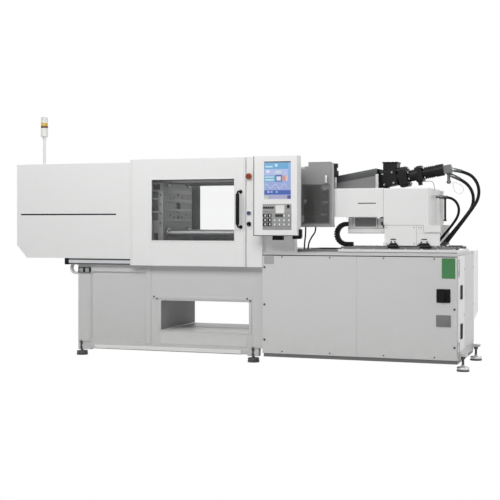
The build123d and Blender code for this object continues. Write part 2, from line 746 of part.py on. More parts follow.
# Carriage on four guide blocks
block_top = rail_top + 16
carriage_plate = 20
carriage_left = x_right - 626
carriage_right = x_right - 176
cylinder_end = x_right - 637
apron_half = 252
apron_front = axis_y - apron_half
apron_bottom = bed_top + 28
apron_top = bed_top + 198
guide_blocks = []
for x in (carriage_left + 67, carriage_right - 120):
    for y in (axis_y - rail_y, axis_y + rail_y):
        body = block(x - 46, x + 46, y - 30, y + 30, bed_top + 6, block_top)
        body -= block(x - 47, x + 47, y - rail_half - slide_gap, y + rail_half + slide_gap, bed_top,
                      rail_top + slide_gap)
        guide_blocks.append(body)
save("guide_blocks", *guide_blocks)

drive_left = x_right - 502
drive_right = x_right - 292
drive_half = 105
piston_radius = 40
cylinder_body = 66
cover_y0 = axis_y - 246
front_cover_back = axis_y + 246
front_cover_bottom = clamp_z - 91
plate_right = carriage_right - 66
carriage_base = block(carriage_left - 16, plate_right, apron_front + 20, back_of(apron_front + 20), block_top,
                      block_top + carriage_plate)
carriage_base -= block(drive_left + 80, plate_right + 1, axis_y - 150, axis_y + 165, block_top - 1,
                       block_top + carriage_plate + 1)
apron = block(carriage_left, carriage_right, apron_front, apron_front + 20, apron_bottom, apron_top)
apron = fillet(apron.edges().group_by(Axis.Y)[0], 2)
carriage_base += apron
carriage_base += mirrored(apron)
carriage_base += block(carriage_right - 128, carriage_right + 9, apron_front - 10, apron_front,
                       apron_top - 60, apron_top)
cross_x = drive_left + 50
for x0 in (carriage_left + 4, cross_x):
    carriage_base += block(x0, x0 + 30, apron_front + 20, back_of(apron_front + 20),
                           block_top + carriage_plate, apron_top)
carriage_base += block(drive_left, drive_right, axis_y - drive_half, axis_y + drive_half, apron_top,
                       clamp_z + 113)
carriage_base += block(cross_x, cross_x + 30, axis_y - 140, axis_y + 140, apron_top - 10, apron_top + 30)
carriage_base -= rod_x(piston_radius + running_gap, drive_left - 1, drive_right - 20, axis_y, clamp_z)
nose = block(nose_left, carriage_left + 10, axis_y - 156, axis_y + 156, nose_bottom, nose_bottom + 45)
strap_z = front_cover_bottom - 12
for y0 in (axis_y - 146, axis_y + 126):
    nose += block(nose_left, cylinder_end - 25, y0, y0 + 20, nose_bottom + 45, front_cover_bottom)
saddle_left = nose_left + (cylinder_end - nose_left) / 10
saddle_right = cylinder_end - (cylinder_end - nose_left) / 4
saddle = block(saddle_left, saddle_right, axis_y - 60, axis_y + 60, nose_bottom + 45, clamp_z - 30)
nose += saddle - rod_x(cylinder_body + slide_gap, saddle_left - 1, saddle_right + 1, axis_y, clamp_z)
for x0 in (nose_left + 6, cylinder_end - 51):
    nose += block(x0, x0 + 26, cover_y0, front_cover_back, strap_z, front_cover_bottom)
nose += block(nose_left - 25, nose_left + 1, axis_y - 146, axis_y - 140, nose_bottom + 61, nose_bottom + 95)
carriage_base += nose
save("carriage_base", carriage_base)

# Injection covers
front_cover_left = nose_left - 105
cover_seam = x_right - 635
rear_cover_right = x_right - 271
rear_cover_back = axis_y + 328
front_cover_top = clamp_z + 146
skin = 4
front_cover = block(front_cover_left, cover_seam - gap, cover_y0, front_cover_back, front_cover_bottom,
                    front_cover_top)
front_cover = fillet(front_cover.edges().filter_by(Axis.X).group_by(Axis.Z)[-1], 8)
front_cover -= block(front_cover_left - 1, cover_seam, cover_y0 + skin, front_cover_back - skin,
                     front_cover_bottom - 1, front_cover_top - skin)
barrel_slot_half = 92
front_cover -= block(front_cover_left - 1, cover_seam - 9, axis_y - barrel_slot_half,
                     axis_y + barrel_slot_half, front_cover_top - skin - 1, front_cover_top + 1)
slot_left = (front_cover_left + cover_seam) / 2
front_cover -= block(slot_left, cover_seam - 63, cover_y0 - 1, cover_y0 + skin + 1, clamp_z + 18,
                     clamp_z + 26)
save("front_cover", front_cover)
rear_cover = block(cover_seam, rear_cover_right, cover_y0, rear_cover_back, apron_top, front_cover_top - 3)
rear_cover = fillet(rear_cover.edges().filter_by(Axis.X).group_by(Axis.Z)[-1], 8)
rear_cover -= block(cover_seam - 1, rear_cover_right - skin, cover_y0 + skin, rear_cover_back - skin,
                    apron_top - 1, front_cover_top - 3 - skin)
rear_cover += block(rear_cover_right - skin, rear_cover_right + 34, rear_cover_back - 20, rear_cover_back - 8,
                    apron_top - 52, front_cover_top - 12)
save("rear_cover", rear_cover)

# Injection cylinder with nozzle and the block where the inclined barrel joins it
nozzle_tip = x_joint + 64
block_left = x_joint + 274
block_right = block_left + 130
plunger_radius = 14
barrel_radius = 55
nozzle_profile = [
    (nozzle_tip, 0), (nozzle_tip, 9), (nozzle_tip + 14, 16), (nozzle_tip + 70, 22), (nozzle_tip + 70, 34),
    (block_left - 40, 34), (block_left - 40, 62), (block_left + 1, 62), (block_left + 1, 0),
]
nozzle_outline = Polyline(*[(x, 0, r) for x, r in nozzle_profile], close=True)
nozzle = Pos(0, axis_y, clamp_z) * revolve(make_face(nozzle_outline), Axis.X, 360)
injection_cylinder = nozzle + rod_x(cylinder_body, block_right - 1, cylinder_end, axis_y, clamp_z)
junction_top = axis_height(block_right) + 66
junction_points = [
    (block_left, clamp_z - 75), (block_right, clamp_z - 75), (block_right, junction_top),
    (block_left, junction_top - (block_right - block_left) * slope),
]
junction = plate_xz(junction_points, axis_y - 75, axis_y + 75)
junction = fillet(junction.edges().filter_by(Axis.Y), 10)
injection_cylinder += junction
injection_cylinder -= rod_x(plunger_radius + running_gap, block_right - 60, cylinder_end + 1, axis_y,
                            clamp_z)

# Inclined plasticizing barrel and screw, drawn along X and then tilted
gear_x = motor_x - 204
unit_place = Pos(gear_x, axis_y, axis_height(gear_x)) * Rot(0, -incline, 0)
barrel_length = (gear_x - block_right) / math.cos(math.radians(incline)) + 40
screw_radius = 13.9
screw_bore = screw_radius + running_gap
screw_end = 130
barrel_end = -barrel_length
barrel_local = rod_x(barrel_radius, barrel_end, 0, 0, 0)
for place in range(4):
    x0 = barrel_end + 84 + place * (barrel_length - 124) / 4
    barrel_local += rod_x(barrel_radius + 5, x0, x0 + 78, 0, 0)
barrel_local -= rod_x(screw_bore, barrel_end - 1, 1, 0, 0)
clear_of_barrel = unit_place * rod_x(barrel_radius + running_gap, barrel_end, 0, 0, 0)
injection_cylinder -= clear_of_barrel
save("injection_cylinder", injection_cylinder)
barrel_node = unit_place * barrel_local
save("plasticizing_barrel", barrel_node)

screw_local = rod_x(screw_radius - 3, barrel_end + 30, -20, 0, 0)
flight_pitch = 28
flight_count = int((barrel_length - 120) / flight_pitch)
for place in range(flight_count):
    x0 = barrel_end + 60 + place * flight_pitch
    screw_local += rod_x(screw_radius, x0, x0 + 6, 0, 0)
screw_local += rod_x(screw_radius, -60, screw_end, 0, 0)
save("plasticizing_screw", unit_place * screw_local)

# Injection plunger with its piston
plunger_stroke = 110
piston_left = cylinder_end + plunger_stroke + 3
plunger = rod_x(plunger_radius, block_right + 70, piston_left + 1, axis_y, clamp_z)
plunger += rod_x(piston_radius, piston_left, drive_right - 25, axis_y, clamp_z)
save("injection_plunger", plunger)

# Sloped cover over the barrel
cover_half_width = 146
cover_left_top = front_cover_top + 104
barrel_cover_right = gear_x - 3
cover_right_top = cover_left_top + (barrel_cover_right - front_cover_left) * slope
hood_points = [
    (front_cover_left + 2, front_cover_top), (barrel_cover_right, front_cover_top),
    (barrel_cover_right, cover_right_top), (front_cover_left + 2, cover_left_top),
]
hood_inner = [
    (front_cover_left - 10, front_cover_top - 1), (barrel_cover_right + 10, front_cover_top - 1),
    (barrel_cover_right + 10, cover_right_top + 10 * slope - skin),
    (front_cover_left - 10, cover_left_top - 12 * slope - skin),
]
hood = plate_xz(hood_points, axis_y - cover_half_width, axis_y + cover_half_width)
hood -= plate_xz(hood_inner, axis_y - cover_half_width + skin, axis_y + cover_half_width - skin)
save("barrel_cover", hood)

# Gearbox with the feed throat
gearbox = block(0, 150, -78, 78, -56, 78)
gearbox = fillet(gearbox.edges().filter_by(Axis.X), 12)
gearbox += block(0, 22, -86, 86, -57, 84)
gearbox += rod_x(62, 150, 172, 0, 0)
flange = block(168, 236, -82, 82, -82, 82)
gearbox += fillet(flange.edges().filter_by(Axis.X), 26)
gearbox += rod_x(48, 236, 300, 0, 0)
for place in range(8):
    angle = math.radians(22.5 + place * 45)
    gearbox += rod_x(7, 236, 246, 68 * math.cos(angle), 68 * math.sin(angle))
gearbox -= rod_x(screw_bore, -1, screw_end + 4, 0, 0)
feed_radius = 30
feed_x = gear_x + 91
throat_top = motor_z + 125
throat = block(feed_x - 59, feed_x + 59, axis_y - 66, axis_y + 66, axis_height(feed_x - 59) + 30, throat_top)
throat += block(feed_x - 64, feed_x + 64, axis_y - 71, axis_y + 71, throat_top - 12, throat_top)
gear_foot = cylinder_end - 55
saddle = block(gear_foot, gear_foot + 45, axis_y - 50, axis_y + 50, clamp_z + 20, axis_height(gear_foot) - 30)
saddle -= rod_x(cylinder_body + slide_gap, gear_foot - 1, gear_foot + 46, axis_y, clamp_z)
throat -= rod_z(feed_radius, axis_height(feed_x), throat_top + 1, feed_x, axis_y)
gearbox_node = unit_place * gearbox + saddle
gearbox_node -= rod_z(feed_radius, axis_height(feed_x), throat_top + 1, feed_x, axis_y)
gearbox_node += throat - unit_place * block(-60, 200, -78, 78, -56, 78)
save("gearbox", gearbox_node)

# Hydraulic motor in line with the screw
motor = rod_x(64, 300, 322, 0, 0)
motor += fillet(block(322, 362, -66, 66, -66, 66).edges().filter_by(Axis.X), 20)
motor += rod_x(46, 362, 470, 0, 0)
motor += rod_x(50, 470, 536, 0, 0)
for place in range(4):
    angle = math.radians(45 + place * 90)
    motor += rod_x(7, 362, 374, 56 * math.cos(angle), 56 * math.sin(angle))
motor += block(310, 340, -20, 20, -92, -60)
save("hydraulic_motor", unit_place * fillet(motor.edges().filter_by(GeomType.CIRCLE).sort_by(Axis.X)[-1], 5))

# Port blocks and hose fittings
port = unit_place * block(536, 600, -34, 34, -36, 30)
sleeves = []
for points in (upper_hose, middle_hose):
    sleeves.append(sleeve(points[0], points[1], 17, 46))
    sleeves.append(sleeve(points[0], points[1], 12, 78))
fittings = port + sleeves
drain_x = motor_x + 361
fittings += rod_z(13, motor_z - 61, motor_z + 49, drain_x, axis_y + 20)
fittings += rod_z(19, motor_z - 53, motor_z - 37, drain_x, axis_y + 20)
lower_fitting = sleeve(lower_hose[0], lower_hose[1], 16, 28)
lower_fitting += sleeve(lower_hose[0], lower_hose[1], 11, 80)
lower_fitting -= block(rear_cover_right - 60, rear_cover_right, lower_y - 30, lower_y + 30,
                       lower_hose[0][2] - 44, lower_hose[0][2] + 46)
save("motor_fittings", fittings, lower_fitting)


save("hose_upper", hose(upper_hose, hose_diameter, "hose_upper"))
save("hose_middle", hose(middle_hose, hose_diameter, "hose_middle"))
save("hose_lower", hose(lower_hose, small_hose_diameter, "hose_lower"))

# Cable chain: links along a half turn between carriage and bed
chain_x = nose_left - 6
link_count = 11
link_half_length = 10.8
link_half_width = 25
link_wall = 5
chain_y = axis_y - 146 - link_half_width
bundle_half = link_half_width - link_wall - 0.2
bundle = rod_y(chain_bend + 6, chain_y - bundle_half, chain_y + bundle_half, chain_x, chain_z)
bundle -= rod_y(chain_bend - 6, chain_y - bundle_half - 1, chain_y + bundle_half + 1, chain_x, chain_z)
bundle -= block(chain_x, chain_x + 200, chain_y - 30, chain_y + 30, chain_z - 200, chain_z + 200)
links = [bundle]
for place in range(link_count):
    turn = place * 180 / (link_count - 1)
    angle = math.radians(90 + turn)
    link_x = chain_x + chain_bend * math.cos(angle)
    link_z = chain_z + chain_bend * math.sin(angle)
    link = block(-link_half_length, link_half_length, -link_half_width, link_half_width, -chain_outer,
                 chain_outer)
    link = fillet(link.edges().filter_by(Axis.Y), 5)
    link -= block(-link_half_length - 1, link_half_length + 1, -link_half_width + link_wall,
                  link_half_width - link_wall, -chain_outer + link_wall, chain_outer - link_wall)
    links.append(Pos(link_x, chain_y, link_z) * Rot(0, -turn, 0) * link)
tail_z = chain_z - chain_bend
tail = block(chain_x + link_half_length, chain_x + 60, chain_y - link_half_width, chain_y + link_half_width,
             tail_z - chain_outer, tail_z + chain_outer)
links.append(tail)
save("cable_chain", *links)

# Purge guard frame and its hinged door
guard_y = axis_y - 270
guard_left = tie_right + 16
guard_hinge_x = x_joint + 289
guard_right = guard_hinge_x + 257
guard_bottom = clamp_z - 174
guard_top = clamp_z + 368
guard_thick = 16
step_one = 28
step_two = 60
guard_rear_y = axis_y + 292
window_left = guard_hinge_x + 14
window_right = guard_right - 18
window_bottom = guard_bottom + 34
window_top = window_bottom + 317
guard_step_z = guard_top - 56
step_two_z = guard_top - 35
hinge_radius = 5
hinge_places = (guard_bottom + 70, guard_step_z - 60)
bar_y0 = guard_y + guard_thick + gap
bar_y1 = bar_y0 + 12
post_right = guard_right + 22
guard_frame = block(guard_left, guard_hinge_x - gap, guard_y, guard_y + guard_thick, guard_bottom,
                    guard_step_z)
for z0 in (guard_bottom, guard_step_z - 20):
    guard_frame += block(fixed_right, post_right, bar_y0, bar_y1, z0, z0 + 20)
    guard_frame += block(guard_left, guard_hinge_x - gap, guard_y + guard_thick - 1, bar_y0 + 1, z0, z0 + 20)
guard_frame += block(guard_right + gap, post_right, guard_y, guard_y + guard_thick + 3, guard_bottom,
                     guard_top - 10)
guard_frame += block(guard_right + gap, guard_right + 6, guard_y + 10, axis_y - 152, front_cover_top + 7,
                     guard_top - 10)
guard_frame += block(guard_right + gap, guard_right + 6, guard_y + 10, axis_y - 202, guard_bottom,
                     strap_z - 6)
rear_wall = block(fixed_right, guard_right, guard_rear_y, guard_rear_y + sheet + 1, guard_bottom,
                  guard_top - 10)
bridge = block(guard_left, guard_left + 30, bar_y0, guard_rear_y + 1, guard_step_z - 20, guard_step_z)
for z in hinge_places:
    guard_frame += block(guard_hinge_x - 28, guard_hinge_x - hinge_radius - 0.5, guard_y - 3, guard_y,
                         z - 28, z + 28)
guard_frame += rear_wall
guard_frame += bridge
save("guard_frame", guard_frame)

door_points = [
    (guard_hinge_x, guard_bottom), (guard_right, guard_bottom), (guard_right, guard_top),
    (guard_hinge_x + step_two, guard_top), (guard_hinge_x + step_two, step_two_z),
    (guard_hinge_x + step_one, step_two_z), (guard_hinge_x + step_one, guard_step_z),
    (guard_hinge_x, guard_step_z),
]
guard_door = plate_xz(door_points, guard_y, guard_y + guard_thick)
guard_door -= block(window_left, window_right, guard_y - 1, guard_y + guard_thick + 1, window_bottom,
                    window_top)
pull_x = guard_right - 52
pull_z = window_top + 17
pull = block(pull_x - 6, pull_x + 6, guard_y - 26, guard_y, pull_z, pull_z + 59)
pull -= block(pull_x - 7, pull_x + 7, guard_y - 18, guard_y, pull_z + 10, pull_z + 49)
guard_door += pull
guard_door += block(pull_x + 12, pull_x + 24, guard_y - 10, guard_y, pull_z + 17, pull_z + 35)
for z in hinge_places:
    guard_door += rod_z(hinge_radius, z - 28, z + 28, guard_hinge_x, guard_y - hinge_radius)
    guard_door += block(guard_hinge_x, guard_hinge_x + 22, guard_y - 3, guard_y, z - 28, z + 28)
save("guard_door", guard_door)
save("guard_window", block(window_left + 0.3, window_right - 0.3, guard_y + 4, guard_y + 9,
                           window_bottom + 0.3, window_top - 0.3))

# Cables from the guard's switches down to the tray
cable_diameter = 9
cable_y = guard_y + guard_thick + 8
cable_end = bed_bottom + 4
cable_drop = (guard_bottom - cable_end) / 197


def cable_route(places):
    """Route points of a guard cable, from places given from the guard's hinge and the tray."""
    return [(guard_hinge_x + x, cable_y, cable_end + z * cable_drop) for x, z in places]


left_cable = cable_route([(29, 197), (29, 151), (25, 104), (18, 53), (18, 0)])
right_cable = cable_route([(116, 197), (116, 157), (84, 119), (50, 54), (50, 0)])
left_cord = hose(left_cable, cable_diameter, "left cable")
right_cord = hose(right_cable, cable_diameter, "right cable")
save("guard_cables", left_cord, right_cord)

# Safety doors: folded panel with window, guide shoes and pull handle
door_left = cover_right + 7
door_right = x_joint - 146
door_bottom = base_top
glass_left = door_left + 203
glass_right = door_right - 99
glass_bottom = clamp_z - 291
glass_top = clamp_z + 232
glass_lap = 12
glass_thick = 6
door_travel = 620


def shoe(x0, strip_z0, strip_z1):
    """A guide shoe that grips the strip of a door rail."""
    body = block(x0, x0 + 80, y_front + panel_depth, rail_front - 3, strip_z0 - 10, strip_z1 + 10)
    return body - block(x0 - 1, x0 + 81, rail_front - strip_depth - slide_gap, rail_front,
                        strip_z0 - slide_gap, strip_z1 + slide_gap)


def door_panel(window_bottom_z, window_top_z):
    """One sliding door, front side."""
    panel = block(door_left, door_right, y_front, y_front + panel_depth, door_bottom, door_top)
    panel = fillet(panel.edges().group_by(Axis.Y)[0], 3)
    for x0, x1, z0, z1 in (
        (door_left, glass_left - 30, door_bottom, door_top),
        (glass_right + 30, door_right, door_bottom, door_top),
        (glass_left - 30, glass_right + 30, door_bottom, window_bottom_z - 30),
        (glass_left - 30, glass_right + 30, window_top_z + 30, door_top),
    ):
        x_in0 = x0 + sheet if x0 == door_left else x0
        x_in1 = x1 - sheet if x1 == door_right else x1
        z_in0 = z0 + sheet if z0 == door_bottom else z0
        z_in1 = z1 - sheet if z1 == door_top else z1
        panel -= block(x_in0, x_in1, y_front + sheet, y_front + panel_depth + 1, z_in0, z_in1)
    hole = block(glass_left, glass_right, y_front - 1, y_front + panel_depth + 1, window_bottom_z,
                 window_top_z)
    panel -= fillet(hole.edges().filter_by(Axis.Y), 6)
    panel -= block(glass_left - glass_lap, glass_right + glass_lap, y_front + panel_depth - glass_thick - 0.3,
                   y_front + panel_depth + 1, window_bottom_z - glass_lap, window_top_z + glass_lap)
    lower_strip = (base_top + strip_low, base_top + strip_high)
    upper_strip = (header_bottom + strip_low, header_bottom + strip_high)
    right_shoe = door_right - 160
    upper_shoe = door_left + door_travel + 3
    for x0, strip in (
        (door_left + 63, lower_strip), (right_shoe, lower_strip), (upper_shoe, upper_strip),
        (right_shoe, upper_strip),
    ):
        z0 = strip[0] - 10
        z1 = strip[1] + 10
        pad = block(x0, x0 + 80, y_front + sheet, y_front + panel_depth, z0, z1)
        panel += pad
        panel += shoe(x0, strip[0], strip[1])
    return panel


def door_glass(window_bottom_z, window_top_z):
    """The clear pane of one door, held in its rebate."""
    return block(glass_left - glass_lap + 0.3, glass_right + glass_lap - 0.3,
                 y_front + panel_depth - glass_thick, y_front + panel_depth,
                 window_bottom_z - glass_lap + 0.3, window_top_z + glass_lap - 0.3)


rear_glass_bottom = clamp_z - 202
rear_glass_top = clamp_z + 229
handle_x = door_right - 42
handle_low = clamp_z - 182
handle_high = clamp_z + 131
handle_reach = 48
grip = 16


def pull_handle():
    """A bent bar handle with two feet."""
    path = FilletPolyline(
        (handle_x, y_front, handle_low + 9), (handle_x - 12, y_front - handle_reach, handle_low + 9),
        (handle_x - 12, y_front - handle_reach, handle_high - 9), (handle_x, y_front, handle_high - 9),
        radius=14,
    )
    start = Plane(origin=path @ 0, z_dir=path % 0)
    bar = sweep(start * Circle(grip / 2), path=path)
    for z in (handle_low + 9, handle_high - 9):
        bar += rod_y(14, y_front - 7, y_front, handle_x, z)
    bar -= block(handle_x - 40, handle_x + 40, y_front, y_front + 40, handle_low - 40, handle_high + 40)
    return bar


save("front_door_panel", door_panel(glass_bottom, glass_top))
save("front_door_window", door_glass(glass_bottom, glass_top))
save("rear_door_panel", mirrored(door_panel(rear_glass_bottom, rear_glass_top)))
save("rear_door_window", mirrored(door_glass(rear_glass_bottom, rear_glass_top)))
save("door_handles_front", pull_handle())
save("door_handles_rear", mirrored(pull_handle()))

# Main breaker: plate and rotary handle
plate_thick = 4
breaker_plate = block(breaker_x - 55, breaker_x + 55, y_front - plate_thick, y_front, breaker_z - 54,
                      breaker_z + 54)
breaker_plate = fillet(breaker_plate.edges().filter_by(Axis.Y), 6)
breaker_plate -= rod_y(handle_stem + running_gap, y_front - plate_thick - 1, y_front + 1, breaker_x,
                       breaker_z)
save("breaker_plate", breaker_plate)
knob = rod_y(28, y_front - plate_thick - 14.5, y_front - plate_thick - 0.5, breaker_x, breaker_z)
knob += rod_y(handle_stem, y_front - plate_thick - 1, y_front + 16, breaker_x, breaker_z)
knob += block(breaker_x - 8, breaker_x + 8, y_front - plate_thick - 34, y_front - plate_thick - 14,
              breaker_z - 34, breaker_z + 26)
save("breaker_handle", knob)
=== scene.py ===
import math

import bmesh
import bpy
from mathutils import Matrix, Vector


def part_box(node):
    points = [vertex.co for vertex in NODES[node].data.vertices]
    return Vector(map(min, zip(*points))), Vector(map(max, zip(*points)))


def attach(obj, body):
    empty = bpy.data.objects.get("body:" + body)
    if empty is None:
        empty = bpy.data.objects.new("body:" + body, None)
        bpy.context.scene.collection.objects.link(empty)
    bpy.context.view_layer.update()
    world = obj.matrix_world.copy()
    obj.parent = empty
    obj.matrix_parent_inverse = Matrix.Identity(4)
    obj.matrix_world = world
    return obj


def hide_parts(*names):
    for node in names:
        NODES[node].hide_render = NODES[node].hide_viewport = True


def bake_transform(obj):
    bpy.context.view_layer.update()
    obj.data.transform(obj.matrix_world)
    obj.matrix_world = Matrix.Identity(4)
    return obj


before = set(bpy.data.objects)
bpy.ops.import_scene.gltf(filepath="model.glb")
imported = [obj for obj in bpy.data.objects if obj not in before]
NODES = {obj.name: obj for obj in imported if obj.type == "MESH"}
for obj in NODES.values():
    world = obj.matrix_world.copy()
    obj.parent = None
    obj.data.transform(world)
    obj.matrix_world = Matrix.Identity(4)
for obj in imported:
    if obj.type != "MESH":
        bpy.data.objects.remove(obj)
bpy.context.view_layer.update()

bl_info = {
    "name": "Injection moulding machine",
    "version": (1, 0, 0),
    "blender": (4, 5, 0),
    "location": "View3D > Sidebar > Moulding machine",
    "description": "Finishes an injection moulding machine on its packed CAD frame",
    "category": "Object",
}

MM = 0.001
ORIGIN_X = -39.0  # from the layout's zero to the middle of the footprint
AXIS_Y = -70.0  # centre line of the clamp and the injection unit
X, Y, Z = 0, 1, 2

# Places in millimetres, each just inside the face that carries a plate or trim
CLAMP_SEAT = -455.5  # front of the clamp base
PANEL_SEAT = -515.8  # front panels of the injection base
APRON_SEAT = -321.6  # front of the carriage's apron
HOOD_SEAT = -215.5  # front of the hood over the barrel
NOSE_SEAT = -215.6  # front of the nose under it
PLATEN_SIDE = -389.5  # front side of the moving platen
DOOR_FACES = (("front_door", -516, -1), ("rear_door", 376, 1))  # body, face, the way it looks
LAMP_X = -1944  # centre of the signal lamp


def spot(x, y, z):
    """A place on the machine in millimetres, in the frame's metres."""
    return Vector(((x + ORIGIN_X) * MM, y * MM, z * MM))


# Shader node groups


def put(tree, socket, value):
    """Links an output to the socket, or sets a plain value on it."""
    if isinstance(value, bpy.types.NodeSocket):
        tree.links.new(value, socket)
    else:
        socket.default_value = value


def feed(tree, node, **values):
    """Sets or links a node's inputs by name, with _ for a space."""
    for label, value in values.items():
        put(tree, node.inputs[label.replace("_", " ")], value)


def new_group(name, **inputs):
    """A shader group with number inputs, and those inputs as its nodes read them."""
    group = bpy.data.node_groups.new(name, "ShaderNodeTree")
    for label, default in inputs.items():
        socket = group.interface.new_socket(
            name=label.replace("_", " "), in_out="INPUT", socket_type="NodeSocketFloat")
        socket.default_value = default
    return group, group.nodes.new("NodeGroupInput").outputs


def close_group(group, **outputs):
    """Gives a shader group its outputs."""
    for label in outputs:
        group.interface.new_socket(name=label, in_out="OUTPUT", socket_type="NodeSocketFloat")
    feed(group, group.nodes.new("NodeGroupOutput"), **outputs)
    return group


def add_math(tree, operation, *values, clamp=False):
    """A math node fed by sockets or numbers."""
    node = tree.nodes.new("ShaderNodeMath")
    node.operation = operation
    node.use_clamp = clamp
    for socket, value in zip(node.inputs, values):
        put(tree, socket, value)
    return node.outputs[0]


def add_noise(tree, vector, scale, detail, roughness):
    """A noise texture on a coordinate."""
    node = tree.nodes.new("ShaderNodeTexNoise")
    feed(tree, node, Vector=vector, Scale=scale, Detail=detail, Roughness=roughness)
    return node.outputs["Fac"]


def add_range(tree, value, low, high, out_low, out_high):
    """A clamped map range."""
    node = tree.nodes.new("ShaderNodeMapRange")
    feed(tree, node, Value=value, From_Min=low, From_Max=high, To_Min=out_low, To_Max=out_high)
    return node.outputs["Result"]


def add_place(tree):
    """Object coordinates and their three parts."""
    place = tree.nodes.new("ShaderNodeTexCoord").outputs["Object"]
    parts = tree.nodes.new("ShaderNodeSeparateXYZ")
    put(tree, parts.inputs[0], place)
    return place, parts.outputs


def build_paint_skin():
    """Powder coat: a fine orange peel, slow changes of tone, dust near the floor."""
    group, given = new_group("Paint skin", Peel_size=420.0, Dust_reach=0.45)
    place, parts = add_place(group)
    peel = add_noise(group, place, given["Peel size"], 2.0, 0.45)
    slow = add_noise(group, place, 1.7, 3.0, 0.55)
    streak = group.nodes.new("ShaderNodeMapping")
    feed(group, streak, Vector=place, Scale=(9.0, 9.0, 0.7))
    wiped = add_noise(group, streak.outputs[0], 3.0, 3.0, 0.6)
    tone = add_math(group, "ADD", add_math(group, "MULTIPLY", slow, 0.6),
                    add_math(group, "MULTIPLY", wiped, 0.4))
    rise = add_math(group, "DIVIDE", parts["Z"], given["Dust reach"])
    fade = add_math(group, "SUBTRACT", 1.0, rise, clamp=True)
    patchy = add_range(group, add_noise(group, place, 11.0, 5.0, 0.65), 0.35, 0.7, 0.2, 1.0)
    dust = add_math(group, "MULTIPLY", add_math(group, "POWER", fade, 1.6), patchy)
    return close_group(group, Height=peel, Tone=tone, Dust=dust)


def build_metal_skin():
    """Machined metal: tool marks along one direction, and an oily film in patches."""
    group, given = new_group("Metal skin", Along_X=3.0, Along_Y=60.0, Along_Z=60.0, Mark_size=12.0)
    place, _ = add_place(group)
    along = group.nodes.new("ShaderNodeCombineXYZ")
    feed(group, along, X=given["Along X"], Y=given["Along Y"], Z=given["Along Z"])
    stretch = group.nodes.new("ShaderNodeVectorMath")
    stretch.operation = "MULTIPLY"
    put(group, stretch.inputs[0], place)
    put(group, stretch.inputs[1], along.outputs[0])
    marks = add_noise(group, stretch.outputs[0], given["Mark size"], 3.0, 0.6)
    film = add_range(group, add_noise(group, place, 6.0, 4.0, 0.6), 0.35, 0.68, 0.0, 1.0)
    return close_group(group, Height=marks, Marks=marks, Film=film)


def build_moulded_skin():
    """Moulded plastic or rubber: a fine spark-eroded grain and faint finger marks."""
    group, given = new_group("Moulded skin", Grain_size=900.0)
    place, _ = add_place(group)
    grain = add_noise(group, place, given["Grain size"], 1.0, 0.4)
    marks = add_range(group, add_noise(group, place, 14.0, 4.0, 0.6), 0.3, 0.7, 0.0, 1.0)
    return close_group(group, Height=grain, Marks=marks)


SKINS = {}


def skin_of(tree, build, **values):
    """Places a shader group, which is built once, and gives its outputs."""
    if build not in SKINS:
        SKINS[build] = build()
    node = tree.nodes.new("ShaderNodeGroup")
    node.node_tree = SKINS[build]
    feed(tree, node, **values)
    return node.outputs


# Materials


GLOSS_LIMIT = 0.04  # paints and plastics darker than this have a weak gloss
SCREEN_LEVEL = 0.78  # how bright the display's tiles are
WAVE_TURNS, WAVE_LEVEL, WAVE_HEIGHT, WAVE_HALF_LINE = 19.0, 0.345, 0.055, 0.006  # its wave


def blank_material(name):
    """A material with only its Principled shader and output."""
    material = bpy.data.materials.new(name)
    material.use_nodes = True
    tree = material.node_tree
    shader = next(node for node in tree.nodes if node.type == "BSDF_PRINCIPLED")
    return material, tree, shader


def add_colours(tree, factor, first, second):
    """A colour that goes from the first to the second with a mask."""
    node = tree.nodes.new("ShaderNodeMix")
    node.data_type = "RGBA"
    put(tree, node.inputs[0], factor)
    for label, value in (("A", first), ("B", second)):
        socket = next(s for s in node.inputs if s.name == label and s.type == "RGBA")
        put(tree, socket, (*value, 1.0) if isinstance(value, tuple) else value)
    return next(s for s in node.outputs if s.type == "RGBA")


def seen_rays(tree):
    """One for rays that the camera, a reflection or a clear pane sends."""
    rays = tree.nodes.new("ShaderNodeLightPath").outputs
    mirror = add_math(tree, "MAXIMUM", rays["Is Glossy Ray"], rays["Is Transmission Ray"])
    return add_math(tree, "MAXIMUM", rays["Is Camera Ray"], mirror)


def show_white(tree, shader, white, output):
    """Sends a plain white to the rays that are seen, and the shader to the rest."""
    mixed = tree.nodes.new("ShaderNodeMixShader")
    for socket, value in zip(mixed.inputs, (seen_rays(tree), shader.outputs[0], white.outputs[0])):
        put(tree, socket, value)
    feed(tree, tree.nodes[output], Surface=mixed.outputs[0])


def add_bump(tree, shader, height, strength, distance):
    """A bump that feeds the shader's normal."""
    node = tree.nodes.new("ShaderNodeBump")
    feed(tree, node, Strength=strength, Distance=distance, Height=height)
    feed(tree, shader, Normal=node.outputs[0])


def shade(colour, factor):
    """A colour made lighter or darker."""
    return tuple(min(1.0, part * factor) for part in colour)


def painted(name, colour, rough=0.42, peel=420.0, dust=0.45, coat=0.12):
    """A powder-coated or painted finish."""
    material, tree, shader = blank_material(name)
    skin = skin_of(tree, build_paint_skin, Peel_size=peel, Dust_reach=dust)
    toned = add_colours(tree, skin["Tone"], shade(colour, 0.975), shade(colour, 1.02))
    grey = sum(colour) / 3
    dusty = add_colours(tree, add_math(tree, "MULTIPLY", skin["Dust"], 0.35), toned,
                        (grey * 0.78, grey * 0.75, grey * 0.70))
    feed(tree, shader, Base_Color=dusty, Coat_Weight=coat, Coat_Roughness=0.25,
         Roughness=add_range(tree, skin["Tone"], 0.3, 0.7, rough + 0.05, rough - 0.05),
         Specular_IOR_Level=0.15 if max(colour) < GLOSS_LIMIT else 0.5)
    add_bump(tree, shader, skin["Height"], 0.25, 0.0004)
    return material


